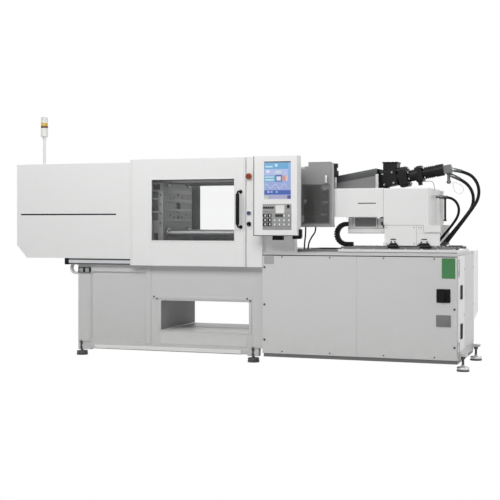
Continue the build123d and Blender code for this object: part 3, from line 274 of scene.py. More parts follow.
def metal(name, colour, rough=0.3, metallic=1.0, along=(3.0, 60.0, 60.0), marks=12.0):
    """A machined, ground or cast metal finish."""
    material, tree, shader = blank_material(name)
    skin = skin_of(tree, build_metal_skin, Along_X=along[X], Along_Y=along[Y], Along_Z=along[Z],
                   Mark_size=marks)
    marked = add_colours(tree, skin["Marks"], shade(colour, 0.86), shade(colour, 1.1))
    filmed = add_colours(tree, add_math(tree, "MULTIPLY", skin["Film"], 0.15), marked,
                         shade(colour, 0.55))
    feed(tree, shader, Base_Color=filmed, Metallic=metallic,
         Roughness=add_range(tree, skin["Marks"], 0.3, 0.7, rough + 0.08, rough - 0.06))
    add_bump(tree, shader, skin["Height"], 0.2, 0.0003)
    return material


def moulded(name, colour, rough=0.5, grain=900.0, coat=0.0):
    """A moulded plastic or rubber finish."""
    material, tree, shader = blank_material(name)
    skin = skin_of(tree, build_moulded_skin, Grain_size=grain)
    toned = add_colours(tree, skin["Marks"], shade(colour, 0.92), shade(colour, 1.06))
    feed(tree, shader, Base_Color=toned, Coat_Weight=coat,
         Roughness=add_range(tree, skin["Marks"], 0.0, 1.0, rough + 0.06, rough - 0.06),
         Specular_IOR_Level=0.12 if max(colour) < GLOSS_LIMIT else 0.5)
    add_bump(tree, shader, skin["Height"], 0.2, 0.0002)
    return material


def smoked(name, colour, rough, alpha):
    """A clear pane, tinted, with faint wiping marks."""
    material, tree, shader = blank_material(name)
    skin = skin_of(tree, build_moulded_skin, Grain_size=300.0)
    toned = add_colours(tree, skin["Marks"], shade(colour, 0.95), shade(colour, 1.05))
    feed(tree, shader, Base_Color=toned, Alpha=alpha, IOR=1.49,
         Roughness=add_range(tree, skin["Marks"], 0.0, 1.0, rough, rough + 0.08))
    return material


def lamp_glow(name, colour, strength):
    """A moulded lens with ribs that is faintly lit."""
    material, tree, shader = blank_material(name)
    _, parts = add_place(tree)
    ribs = add_math(tree, "SINE", add_math(tree, "MULTIPLY", parts["Z"], 900.0))
    mask = add_range(tree, ribs, -1.0, 1.0, 0.0, 1.0)
    feed(tree, shader, Base_Color=add_colours(tree, mask, shade(colour, 0.85), shade(colour, 1.1)),
         Roughness=0.2, Emission_Color=(*colour, 1.0), Emission_Strength=strength)
    add_bump(tree, shader, ribs, 0.4, 0.001)
    return material


SCREEN_TILES = (  # left, right, bottom and top as shares of the display, then the colour
    (0.0, 1.0, 0.965, 1.0, (0.05, 0.07, 0.10)),
    (0.0, 0.9, 0.80, 0.965, (0.16, 0.42, 0.70)),
    (0.05, 0.32, 0.84, 0.88, (0.60, 0.82, 0.95)),
    (0.40, 0.50, 0.86, 0.93, (0.60, 0.82, 0.95)),
    (0.02, 0.88, 0.62, 0.79, (0.50, 0.56, 0.86)),
    (0.08, 0.20, 0.70, 0.77, (0.78, 0.84, 0.97)),
    (0.42, 0.64, 0.68, 0.75, (0.66, 0.74, 0.80)),
    (0.0, 0.44, 0.46, 0.63, (0.20, 0.47, 0.70)),
    (0.03, 0.36, 0.57, 0.60, (0.62, 0.82, 0.94)),
    (0.03, 0.36, 0.49, 0.53, (0.62, 0.82, 0.94)),
    (0.42, 0.66, 0.46, 0.64, (0.12, 0.16, 0.42)),
    (0.46, 0.62, 0.49, 0.60, (0.74, 0.80, 0.95)),
    (0.68, 0.78, 0.48, 0.62, (0.66, 0.34, 0.26)),
    (0.80, 0.88, 0.48, 0.62, (0.84, 0.58, 0.54)),
    (0.0, 1.0, 0.12, 0.235, (0.07, 0.15, 0.50)),
    (0.12, 0.20, 0.17, 0.21, (0.55, 0.66, 0.92)),
    (0.25, 0.31, 0.17, 0.21, (0.55, 0.66, 0.92)),
    (0.44, 0.50, 0.17, 0.21, (0.55, 0.66, 0.92)),
    (0.0, 1.0, 0.0, 0.10, (0.46, 0.46, 0.66)),
    (0.0, 0.16, 0.0, 0.10, (0.60, 0.66, 0.60)),
    (0.86, 1.0, 0.0, 0.10, (0.10, 0.13, 0.36)),
)


def screen_picture(name, colour):
    """A lit display: a wash of colour, tiles and a wave, with no words."""
    material, tree, shader = blank_material(name)
    _, parts = add_place(tree)
    low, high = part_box("hmi_screen")
    across = add_range(tree, parts["X"], low[X], high[X], 0.0, 1.0)
    up = add_range(tree, parts["Z"], low[Z], high[Z], 0.0, 1.0)

    def band(value, start, stop):
        return add_math(tree, "MULTIPLY", add_math(tree, "GREATER_THAN", value, start),
                        add_math(tree, "LESS_THAN", value, stop))

    picture = add_colours(tree, up, colour, (0.23, 0.39, 0.62))
    for x0, x1, z0, z1, tint in SCREEN_TILES:
        tile = add_math(tree, "MULTIPLY", band(across, x0, x1), band(up, z0, z1))
        picture = add_colours(tree, tile, picture, shade(tint, SCREEN_LEVEL))
    sine = add_math(tree, "SINE", add_math(tree, "MULTIPLY", across, WAVE_TURNS))
    wave = add_math(tree, "ADD", WAVE_LEVEL, add_math(tree, "MULTIPLY", sine, WAVE_HEIGHT))
    off = add_math(tree, "ABSOLUTE", add_math(tree, "SUBTRACT", up, wave))
    trace = add_math(tree, "MULTIPLY", add_math(tree, "LESS_THAN", off, WAVE_HALF_LINE),
                     band(across, 0.04, 0.86))
    picture = add_colours(tree, trace, picture, (0.66, 0.70, 0.78))
    feed(tree, shader, Base_Color=picture, Emission_Color=picture, Emission_Strength=0.22,
         Roughness=0.18)
    return material


EVEN_MARKS = (20.0, 20.0, 20.0)
FINISHES = {  # the maker, its colour and its other settings
    "cover white": (painted, (0.845, 0.845, 0.835), {}),
    "door white": (painted, (0.86, 0.86, 0.85), dict(peel=460.0)),
    # Grey darker than the covers' white: painted shade on the clamp base and the injection base,
    # which are less lit than the covers
    "frame grey": (painted, (0.62, 0.62, 0.615), dict(rough=0.5, peel=300.0, dust=0.6)),
    "panel grey": (painted, (0.66, 0.66, 0.655), dict(rough=0.45, dust=0.5)),
    "panel white": (painted, (0.87, 0.87, 0.86), dict(peel=520.0)),
    # White lighter than the covers' white: painted light on the operator panel's bracket, the
    # electrical cabinet and its louvres, which the lamps leave dim
    "bracket white": (painted, (0.94, 0.94, 0.93), dict(peel=460.0)),
    "bracket grey": (painted, (0.40, 0.40, 0.40), dict(rough=0.5)),
    "guard grey": (painted, (0.30, 0.30, 0.297), dict(rough=0.45)),
    "hood grey": (painted, (0.20, 0.20, 0.198), dict(rough=0.5)),
    "tray grey": (painted, (0.20, 0.20, 0.20), dict(rough=0.5)),
    "skirt grey": (painted, (0.145, 0.145, 0.145), dict(rough=0.5, dust=0.3)),
    "dark paint": (painted, (0.06, 0.062, 0.065), dict(rough=0.5, dust=0.2)),
    "black paint": (painted, (0.011, 0.011, 0.012), dict(coat=0.05)),
    "bright steel": (metal, (0.66, 0.66, 0.65), dict(rough=0.34)),
    "ground steel": (metal, (0.80, 0.80, 0.80),
                     dict(rough=0.16, along=(40.0, 3.0, 3.0), marks=8.0)),
    "zinc steel": (metal, (0.56, 0.57, 0.58), dict(rough=0.42, along=EVEN_MARKS, marks=5.0)),
    "cast iron": (metal, (0.27, 0.27, 0.275),
                  dict(rough=0.58, metallic=0.35, along=EVEN_MARKS, marks=9.0)),
    "bar steel": (metal, (0.20, 0.20, 0.205),
                  dict(rough=0.32, metallic=0.85, along=(3.0, 40.0, 40.0), marks=8.0)),
    "fitting steel": (metal, (0.17, 0.172, 0.175),
                      dict(rough=0.36, metallic=0.9, along=EVEN_MARKS, marks=6.0)),
    "platen iron": (metal, (0.15, 0.15, 0.152),
                    dict(rough=0.5, metallic=0.3, along=(3.0, 14.0, 50.0), marks=7.0)),
    "black plastic": (moulded, (0.009, 0.009, 0.010), dict(rough=0.45)),
    "grey plastic": (moulded, (0.33, 0.335, 0.33), {}),
    "pale plastic": (moulded, (0.82, 0.82, 0.80), dict(rough=0.4)),
    "red plastic": (moulded, (0.22, 0.022, 0.006), dict(rough=0.36, coat=0.05)),
    "yellow plastic": (moulded, (0.48, 0.20, 0.03), dict(rough=0.4, coat=0.2)),
    "blue plastic": (moulded, (0.03, 0.05, 0.16), dict(rough=0.28, coat=0.4)),
    "green enamel": (moulded, (0.035, 0.20, 0.055), dict(rough=0.3, coat=0.3)),
    "key cap dark": (moulded, (0.03, 0.032, 0.035), dict(rough=0.45)),
    "hose rubber": (moulded, (0.008, 0.008, 0.009), dict(grain=500.0)),
    "gasket rubber": (moulded, (0.010, 0.010, 0.011), dict(rough=0.6, grain=500.0)),
    "amber lens": (lamp_glow, (0.68, 0.46, 0.06), dict(strength=0.08)),
    "brown lens": (lamp_glow, (0.15, 0.075, 0.025), dict(strength=0.02)),
    "door pane": (smoked, (0.70, 0.72, 0.73), dict(rough=0.06, alpha=0.04)),
    "guard pane": (smoked, (0.085, 0.087, 0.083), dict(rough=0.10, alpha=0.62)),
    "display picture": (screen_picture, (0.33, 0.34, 0.61), {}),
}
MATERIALS = {}


def finish_of(name):
    """The material of a finish, made once."""
    if name not in MATERIALS:
        maker, colour, settings = FINISHES[name]
        MATERIALS[name] = maker(name.capitalize(), colour, **settings)
    return MATERIALS[name]


NODE_FINISHES = {
    "cover white": "clamp_cover end_door carriage_base front_cover rear_cover",
    "door white": "side_pillars front_door_panel rear_door_panel",
    # The bases' grey is painted shade
    "frame grey": "clamp_base injection_base",
    "panel grey": "base_panels",
    "panel white": "hmi_housing",
    # The lighter white here is painted light
    "bracket white": "hmi_bracket electrical_cabinet",
    "bracket grey": "guard_frame",
    "guard grey": "guard_door",
    "hood grey": "barrel_cover",
    "tray grey": "purge_tray",
    "skirt grey": "base_skirt",
    "dark paint": "levelling_feet tie_bar_nuts",
    "black paint": "guide_blocks gearbox hydraulic_motor",
    "bright steel": "bed_plate injection_cylinder plasticizing_barrel",
    "ground steel": "clamp_ram plasticizing_screw injection_plunger",
    "zinc steel": "door_rails",
    "cast iron": "clamp_cylinder",
    "bar steel": "tie_bars linear_rails ejector_plate",
    "fitting steel": "motor_fittings",
    "platen iron": "rear_platen fixed_platen moving_platen",
    "black plastic": "connector_sockets key_switch door_handles_front door_handles_rear "
                     "breaker_plate breaker_handle",
    "grey plastic": "hmi_keypad control_gear",
    "pale plastic": "signal_lamp",
    "red plastic": "e_stop_button",
    "blue plastic": "push_button",
    "amber lens": "signal_lens",
    "door pane": "front_door_window rear_door_window",
    "guard pane": "guard_window",
}


# Modelling helpers


def deselect():
    """Object mode, with nothing selected."""
    if bpy.context.view_layer.objects.active and bpy.context.object.mode != "OBJECT":
        bpy.ops.object.mode_set(mode="OBJECT")
    bpy.ops.object.select_all(action="DESELECT")


def activate(piece):
    """Only this piece selected and active."""
    deselect()
    piece.select_set(True)
    bpy.context.view_layer.objects.active = piece


def edit_all(piece):
    """Edit mode with everything selected."""
    activate(piece)
    bpy.ops.object.mode_set(mode="EDIT")
    bpy.ops.mesh.select_all(action="SELECT")


def leave_edit():
    """Back to object mode."""
    bpy.ops.object.mode_set(mode="OBJECT")


def apply_all(piece):
    """Place, turn and size go into the mesh."""
    activate(piece)
    bpy.ops.object.transform_apply(location=True, rotation=True, scale=True)


def soften(piece, width, angle=40):
    """Rounds the edges sharper than an angle."""
    activate(piece)
    bevel = piece.modifiers.new("Bevel", "BEVEL")
    bevel.width = width * MM
    bevel.segments = 2
    bevel.limit_method = "ANGLE"
    bevel.angle_limit = math.radians(angle)
    bpy.ops.object.modifier_apply(modifier=bevel.name)
    return piece


def pick(piece, test):
    """Edit mode with only the faces selected whose centre and normal pass the test."""
    activate(piece)
    bpy.ops.object.mode_set(mode="EDIT")
    bpy.ops.mesh.select_mode(type="FACE")
    bpy.ops.mesh.select_all(action="DESELECT")
    mesh = bmesh.from_edit_mesh(piece.data)
    for face in mesh.faces:
        face.select_set(bool(test(face.calc_center_median(), face.normal)))
    bmesh.update_edit_mesh(piece.data)


def facing(axis, sign):
    """A test for faces that look along one axis."""
    return lambda centre, normal: normal[axis] * sign > 0.95


def inset_picked(inset, depth=0.0):
    """Insets the picked faces and moves them along their normals."""
    bpy.ops.mesh.inset(thickness=inset * MM, depth=depth * MM)


def press(piece, inset, depth, axis=Y, sign=-1):
    """Insets the faces that look one way, to the front if not told, and sinks or raises them."""
    pick(piece, facing(axis, sign))
    inset_picked(inset, depth)
    leave_edit()
    return piece


def groove(piece, axis, inset, depth):
    """Insets the faces round an axis and sinks or raises them."""
    pick(piece, lambda centre, normal: abs(normal[axis]) < 0.3)
    inset_picked(inset, depth)
    leave_edit()
    return piece


def hollow(piece, axis, wall):
    """Opens a piece along an axis, and leaves a wall of one thickness round the hole."""
    pick(piece, lambda centre, normal: abs(normal[axis]) > 0.95)
    inset_picked(wall)
    bpy.ops.mesh.bridge_edge_loops()
    leave_edit()
    return piece


def box(x0, x1, y0, y1, z0, z1, bevel=0.0):
    """A box between two corners in millimetres, with soft edges."""
    deselect()
    middle = spot((x0 + x1) / 2, (y0 + y1) / 2, (z0 + z1) / 2)
    bpy.ops.mesh.primitive_cube_add(size=1, location=middle)
    piece = bpy.context.object
    piece.scale = (abs(x1 - x0) * MM, abs(y1 - y0) * MM, abs(z1 - z0) * MM)
    apply_all(piece)
    if bevel:
        edit_all(piece)
        bpy.ops.mesh.bevel(offset=bevel * MM, segments=2, affect="EDGES")
        leave_edit()
    return piece


def boxes(rows):
    """Boxes from rows of six sides and a bevel."""
    return [box(*row) for row in rows]


TURNS = {"x": (0.0, math.pi / 2, 0.0), "y": (math.pi / 2, 0.0, 0.0), "z": (0.0, 0.0, 0.0)}


def disc(radius, length, centre, axis="z", vertices=32, bevel=0.0):
    """A round or many-sided disc in millimetres with soft rims."""
    deselect()
    bpy.ops.mesh.primitive_cylinder_add(vertices=vertices, radius=radius * MM, depth=length * MM,
                                        location=spot(*centre), rotation=TURNS[axis])
    piece = bpy.context.object
    apply_all(piece)
    return soften(piece, bevel, 50) if bevel else piece


def join(pieces):
    """Several meshes made one."""
    deselect()
    for piece in pieces:
        piece.select_set(True)
    bpy.context.view_layer.objects.active = pieces[0]
    if len(pieces) > 1:
        bpy.ops.object.join()
    return bpy.context.object


def copies(piece, places):
    """Copies of a piece at places in millimetres from where it was made, joined into one mesh."""
    made = []
    for offset in places:
        activate(piece)
        bpy.ops.object.duplicate()
        copy = bpy.context.object
        copy.location = Vector(offset) * MM
        apply_all(copy)
        made.append(copy)
    bpy.data.objects.remove(piece)
    return join(made)


def settle(parts, name, finish, body="frame"):
    """Joins, names, smooths and paints a finished piece, and hangs it on its body."""
    piece = join(parts) if isinstance(parts, list) else parts
    piece.name = name
    apply_all(piece)
    bpy.ops.object.shade_smooth_by_angle(angle=math.radians(35))
    piece.data.materials.clear()
    piece.data.materials.append(finish_of(finish))
    if body:
        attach(piece, body)
    return piece


def tilt(piece, degrees, x, z):
    """Turns a piece about the machine's Y direction, at a place."""
    turn = Matrix.Translation(spot(x, 0, z)) @ Matrix.Rotation(math.radians(-degrees), 4, "Y")
    piece.data.transform(turn @ Matrix.Translation(-spot(x, 0, z)))
    return piece


def socket_screws(radius, head, axis, places):
    """Cap screws with round sockets, modelled once and copied."""
    screw = disc(radius, head, (0, 0, 0), axis, 20, radius * 0.12)
    for sign in (-1, 1):
        press(screw, radius * 0.45, -head * 0.5, "xyz".index(axis), sign)
    return copies(screw, places)


def hex_bolts(radius, head, places):
    """Hexagon heads on washers along X, modelled once and copied."""
    washer = disc(radius * 1.25, head * 0.3, (0, 0, 0), "x", 24, head * 0.06)
    bolt = disc(radius, head, (0, 0, 0), "x", 6, head * 0.12)
    return copies(join([washer, bolt]), places)


def circle(count, radius, x, z, first=0.0):
    """Places in a ring round an axis along X through the machine's centre line."""
    angles = [math.radians(first + place * 360 / count) for place in range(count)]
    return [(x, AXIS_Y + radius * math.cos(turn), z + radius * math.sin(turn)) for turn in angles]


def level(y, *places):
    """Places at one Y, from their X and Z."""
    return [(x, y, z) for x, z in places]


def front_plates(rows):
    """Plates on the frame: sides, the inset and depth of the front, name, finish, slot."""
    for sides, inset, depth, name, finish, slot in rows:
        settle(press(box(*sides), inset, depth), name, finish)


# Stage


CAMERA_PLACE = (3283.9, -9086.3, 1162.8)
CAMERA_TURN = 19.435  # degrees from the front
CAMERA_SHIFT = -0.05306
LIGHTS = (  # name, width and depth, then place and aim, in metres
    ("key", 7.5, 2.4, (-0.4, -4.3, 4.7), (-0.2, 0.0, 1.5)),
    ("side", 3.0, 3.0, (5.6, -0.3, 3.4), (1.9, 0.0, 0.9)),
    ("top", 5.0, 3.0, (0.2, -0.4, 5.8), (0.2, 0.0, 0.9)),
    ("back", 5.0, 3.0, (-1.0, 5.5, 3.5), (0.0, 0.0, 1.0)),
)


class MachineStage(bpy.types.PropertyGroup):
    floor_tone: bpy.props.FloatProperty(
        name="Floor tone", description="Paleness of the floor", default=0.72, min=0.0, max=1.0)
    sky_strength: bpy.props.FloatProperty(
        name="Sky", description="Strength of the light from all round", default=0.14, min=0.0)
    key_power: bpy.props.FloatProperty(
        name="Key light", description="Power of the front light in watts", default=258.0, min=0.0)
    side_power: bpy.props.FloatProperty(
        name="Side light", description="Power of the right light in watts", default=100.0, min=0.0)
    top_power: bpy.props.FloatProperty(
        name="Top light", description="Power of the light above in watts", default=5.0, min=0.0)
    back_power: bpy.props.FloatProperty(
        name="Back light", description="Power of the light behind in watts", default=110.0, min=0.0)
    focal: bpy.props.FloatProperty(
        name="Focal length", description="Lens of the camera in millimetres",
        default=78.519, min=10.0)


class MachineSizes(bpy.types.PropertyGroup):
    hose_diameter: bpy.props.FloatProperty(
        name="Hose diameter", description="Outside diameter of the two long hoses",
        default=0.026, unit="LENGTH")
    small_hose_diameter: bpy.props.FloatProperty(
        name="Small hose diameter", description="Outside diameter of the short hose",
        default=0.022, unit="LENGTH")
    cable_diameter: bpy.props.FloatProperty(
        name="Cable diameter", description="Outside diameter of the guard cables",
        default=0.013, unit="LENGTH")
    stripe_height: bpy.props.FloatProperty(
        name="Stripe height", description="Height of the dark line on the cover",
        default=0.012, unit="LENGTH")


class MACHINE_OT_stage(bpy.types.Operator):
    """Makes the floor, the lights and the camera"""
    bl_idname = "machine.stage"
    bl_label = "Stage"

    def execute(self, context):
        scene = context.scene
        look = scene.machine_stage
        scene.view_settings.view_transform = "Standard"
        deselect()
        bpy.ops.mesh.primitive_plane_add(size=1, location=(0.0, 0.0, -0.0005))
        floor = context.object
        floor.name = "floor"
        floor.scale = (60.0, 60.0, 1.0)
        apply_all(floor)
        material, tree, shader = blank_material("Studio floor")
        place, _ = add_place(tree)
        speckle = add_noise(tree, place, 25.0, 4.0, 0.6)
        tone = look.floor_tone
        feed(tree, shader, Base_Color=add_colours(tree, speckle, (tone * 0.99,) * 3, (tone,) * 3),
             Roughness=0.7, Specular_IOR_Level=0.2)
        show_white(tree, shader, tree.nodes.new("ShaderNodeEmission"), "Material Output")
        floor.data.materials.append(material)

        world = bpy.data.worlds.new("Studio")
        world.use_nodes = True
        scene.world = world
        tree = world.node_tree
        sky = tree.nodes["Background"]
        feed(tree, sky, Color=(0.95, 0.97, 1.0, 1.0), Strength=look.sky_strength)
        white = tree.nodes.new("ShaderNodeBackground")
        feed(tree, white, Color=(1.0, 1.0, 1.0, 1.0))
        show_white(tree, sky, white, "World Output")

        for name, wide, deep, where, aim in LIGHTS:
            data = bpy.data.lights.new(name, "AREA")
            data.energy = getattr(look, name + "_power")
            data.shape = "RECTANGLE"
            data.size = wide
            data.size_y = deep
            lamp = bpy.data.objects.new(name, data)
            scene.collection.objects.link(lamp)
            lamp.location = where
            lamp.rotation_euler = (Vector(aim) - Vector(where)).to_track_quat("-Z", "Y").to_euler()

        data = bpy.data.cameras.new("camera")
        data.lens = look.focal
        data.sensor_width = 36.0
        data.shift_y = CAMERA_SHIFT
        data.clip_end = 100.0
        camera = bpy.data.objects.new("camera", data)
        scene.collection.objects.link(camera)
        camera.location = spot(*CAMERA_PLACE)
        camera.rotation_euler = (math.pi / 2, 0.0, math.radians(CAMERA_TURN))
        scene.camera = camera
        return {"FINISHED"}


class MACHINE_OT_finishes(bpy.types.Operator):
    """Gives each CAD node its finish"""
    bl_idname = "machine.finishes"
    bl_label = "Finishes"

    def execute(self, context):
        for finish, names in NODE_FINISHES.items():
            for name in names.split():
                if name not in NODES:
                    raise RuntimeError("no node " + name)
                mesh = NODES[name].data
                mesh.materials.clear()
                mesh.materials.append(finish_of(finish))
        return {"FINISHED"}


# Hoses, cables and the cable chain


UPPER_Y = AXIS_Y - 15
MIDDLE_Y = AXIS_Y + 20
LOWER_Y = AXIS_Y + 130
CABLE_Y = -316
ROUTES = {
    "upper_hose": level(UPPER_Y, (1906, 1598), (1995, 1577), (2060, 1522), (2090, 1440),
                        (2078, 1354), (2030, 1280), (1910, 1118), (1802, 978)),
    "middle_hose": level(MIDDLE_Y, (1890, 1545), (1958, 1512), (2015, 1455), (2040, 1380),
                         (2030, 1302), (1983, 1232), (1878, 1100), (1775, 978)),
    "lower_hose": level(LOWER_Y, (1768, 1384), (1825, 1381), (1875, 1352), (1903, 1299),
                        (1900, 1239), (1870, 1181), (1793, 1083), (1723, 998)),
    "left_guard_cable": level(CABLE_Y, (684, 1133), (684, 1087), (680, 1040), (673, 989),
                              (673, 936)),
    "right_guard_cable": level(CABLE_Y, (771, 1133), (771, 1093), (739, 1055), (705, 990),
                               (705, 936)),
    "sensor_cable": [(1655, -112, 1507), (1675, -114, 1513), (1705, -118, 1512), (1727, -120, 1490),
                     (1731, -120, 1447)],
    "tag_loop": [(1866, -30, 1504), (1872, -36, 1452), (1890, -40, 1418), (1921, -40, 1404),
                 (1957, -38, 1425), (1952, -34, 1466), (1917, -30, 1489), (1874, -28, 1507)],
}
SENSOR_DIAMETER = 0.006
TAG_DIAMETER = 0.004

CHAIN_X, CHAIN_Y, CHAIN_Z = 1019, -241, 1074.5  # centre of the chain's bend
CHAIN_BEND = 83.5
CHAIN_LINKS = 15
CHAIN_SIDES = (CHAIN_Y - 26, CHAIN_Y + 26)


def route_curve(name, points, radius=0.0):
    """A smooth NURBS line along a route, with or without its round section."""
    data = bpy.data.curves.new(name, "CURVE")
    data.dimensions = "3D"
    data.resolution_u = 12
    data.bevel_depth = radius
    data.bevel_resolution = 4
    data.use_fill_caps = radius > 0
    spline = data.splines.new("NURBS")
    spline.points.add(len(points) - 1)
    for point, place in zip(spline.points, points):
        point.co = (*spot(*place), 1.0)
    spline.order_u = 3
    spline.use_endpoint_u = True
    curve = bpy.data.objects.new(name, data)
    bpy.context.scene.collection.objects.link(curve)
    return curve


def lay_route(name, radius):
    """The curve along a route, points on its line, and its length."""
    curve = route_curve(name + "_line", ROUTES[name])
    bpy.context.view_layer.update()
    line = bpy.data.meshes.new_from_object(curve)
    places = [vertex.co.copy() for vertex in line.vertices]
    bpy.data.objects.remove(curve)
    bpy.data.meshes.remove(line)
    length = sum((b - a).length for a, b in zip(places, places[1:]))
    return route_curve(name, ROUTES[name], radius), places, length


def crimp(place, direction, radius, length):
    """A pressed hose sleeve with two rings, along the hose's end, in metres."""
    deselect()
    bpy.ops.mesh.primitive_cylinder_add(vertices=28, radius=radius, depth=length)
    piece = bpy.context.object
    for offset in (-0.28, 0.12):
        low, high = offset * length, (offset + 0.16) * length
        for cut in (low, high):
            edit_all(piece)
            bpy.ops.mesh.bisect(plane_co=(0, 0, cut), plane_no=(0, 0, 1))
            leave_edit()
        pick(piece, lambda centre, normal: low < centre.z < high and abs(normal.z) < 0.5)
        bpy.ops.mesh.inset(thickness=length * 0.03, depth=-radius * 0.12)
        leave_edit()
    turn = direction.to_track_quat("Z", "Y").to_matrix().to_4x4()
    piece.data.transform(Matrix.Translation(place) @ turn)
    return piece


class MACHINE_OT_hoses(bpy.types.Operator):
    """Makes the hydraulic hoses and the cables"""
    bl_idname = "machine.hoses"
    bl_label = "Hoses and cables"

    def execute(self, context):
        sizes = context.scene.machine_sizes
        for name, node, diameter in (
            ("upper_hose", "hose_upper", sizes.hose_diameter),
            ("middle_hose", "hose_middle", sizes.hose_diameter),
            ("lower_hose", "hose_lower", sizes.small_hose_diameter),
        ):
            tube, places, length = lay_route(name, diameter / 2)
            activate(tube)
            bpy.ops.object.convert(target="MESH")
            tube = settle(context.object, name, "hose rubber", None)
            top, bottom = places[0], places[-1]
            for label, place, nearby, body in (
                ("top", top, places[1], "carriage"), ("bottom", bottom, places[-2], "frame"),
            ):
                direction = (nearby - place).normalized()
                sleeve = crimp(place + direction * 0.020, direction, diameter * 0.62, 0.042)
                settle(sleeve, f"{name}_{label}_crimp", "dark paint", body)
            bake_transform(tube)
            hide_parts(node)
        guard = (sizes.cable_diameter, "hose rubber", "hose_rubber", "frame", "medium", "hanging")
        loose = ("grey_plastic", "carriage", "stiff", "loose")
        for name, diameter, finish, slot, body, stiffness, lay in (
            ("left_guard_cable", *guard),
            ("right_guard_cable", *guard),
            ("sensor_cable", SENSOR_DIAMETER, "grey plastic", *loose),
            ("tag_loop", TAG_DIAMETER, "pale plastic", *loose),
        ):
            cable, places, length = lay_route(name, diameter / 2)
            cable.data.materials.append(finish_of(finish))
            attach(cable, body)
            if body == "frame":
                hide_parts("guard_cables")
        return {"FINISHED"}


class MACHINE_OT_cable_chain(bpy.types.Operator):
    """Makes the links of the cable chain"""
    bl_idname = "machine.cable_chain"
    bl_label = "Cable chain"

    def execute(self, context):
        links = []
        for place in range(CHAIN_LINKS):
            turn = place * 180 / (CHAIN_LINKS - 1)
            angle = math.radians(90 + turn)
            x = CHAIN_X + CHAIN_BEND * math.cos(angle)
            z = CHAIN_Z + CHAIN_BEND * math.sin(angle)
            link = press(box(x - 9.5, x + 9.5, *CHAIN_SIDES, z - 19, z + 19, 3), 6, -2.5)
            press(link, 6, -2.5, Y, 1)
            pin = disc(6, 54, (x, CHAIN_Y, z), "y", 16, 0.8)
            links.append(tilt(join([link, pin]), turn, x, z))
        for x in (1043, 1064):
            links.append(press(box(x - 10, x + 9.5, *CHAIN_SIDES, 972, 1010, 3), 6, -2.5))
        chain = settle(links, "cable_chain_links", "black plastic", None)
        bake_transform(chain)
        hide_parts("cable_chain")
        return {"FINISHED"}


# Clamp side


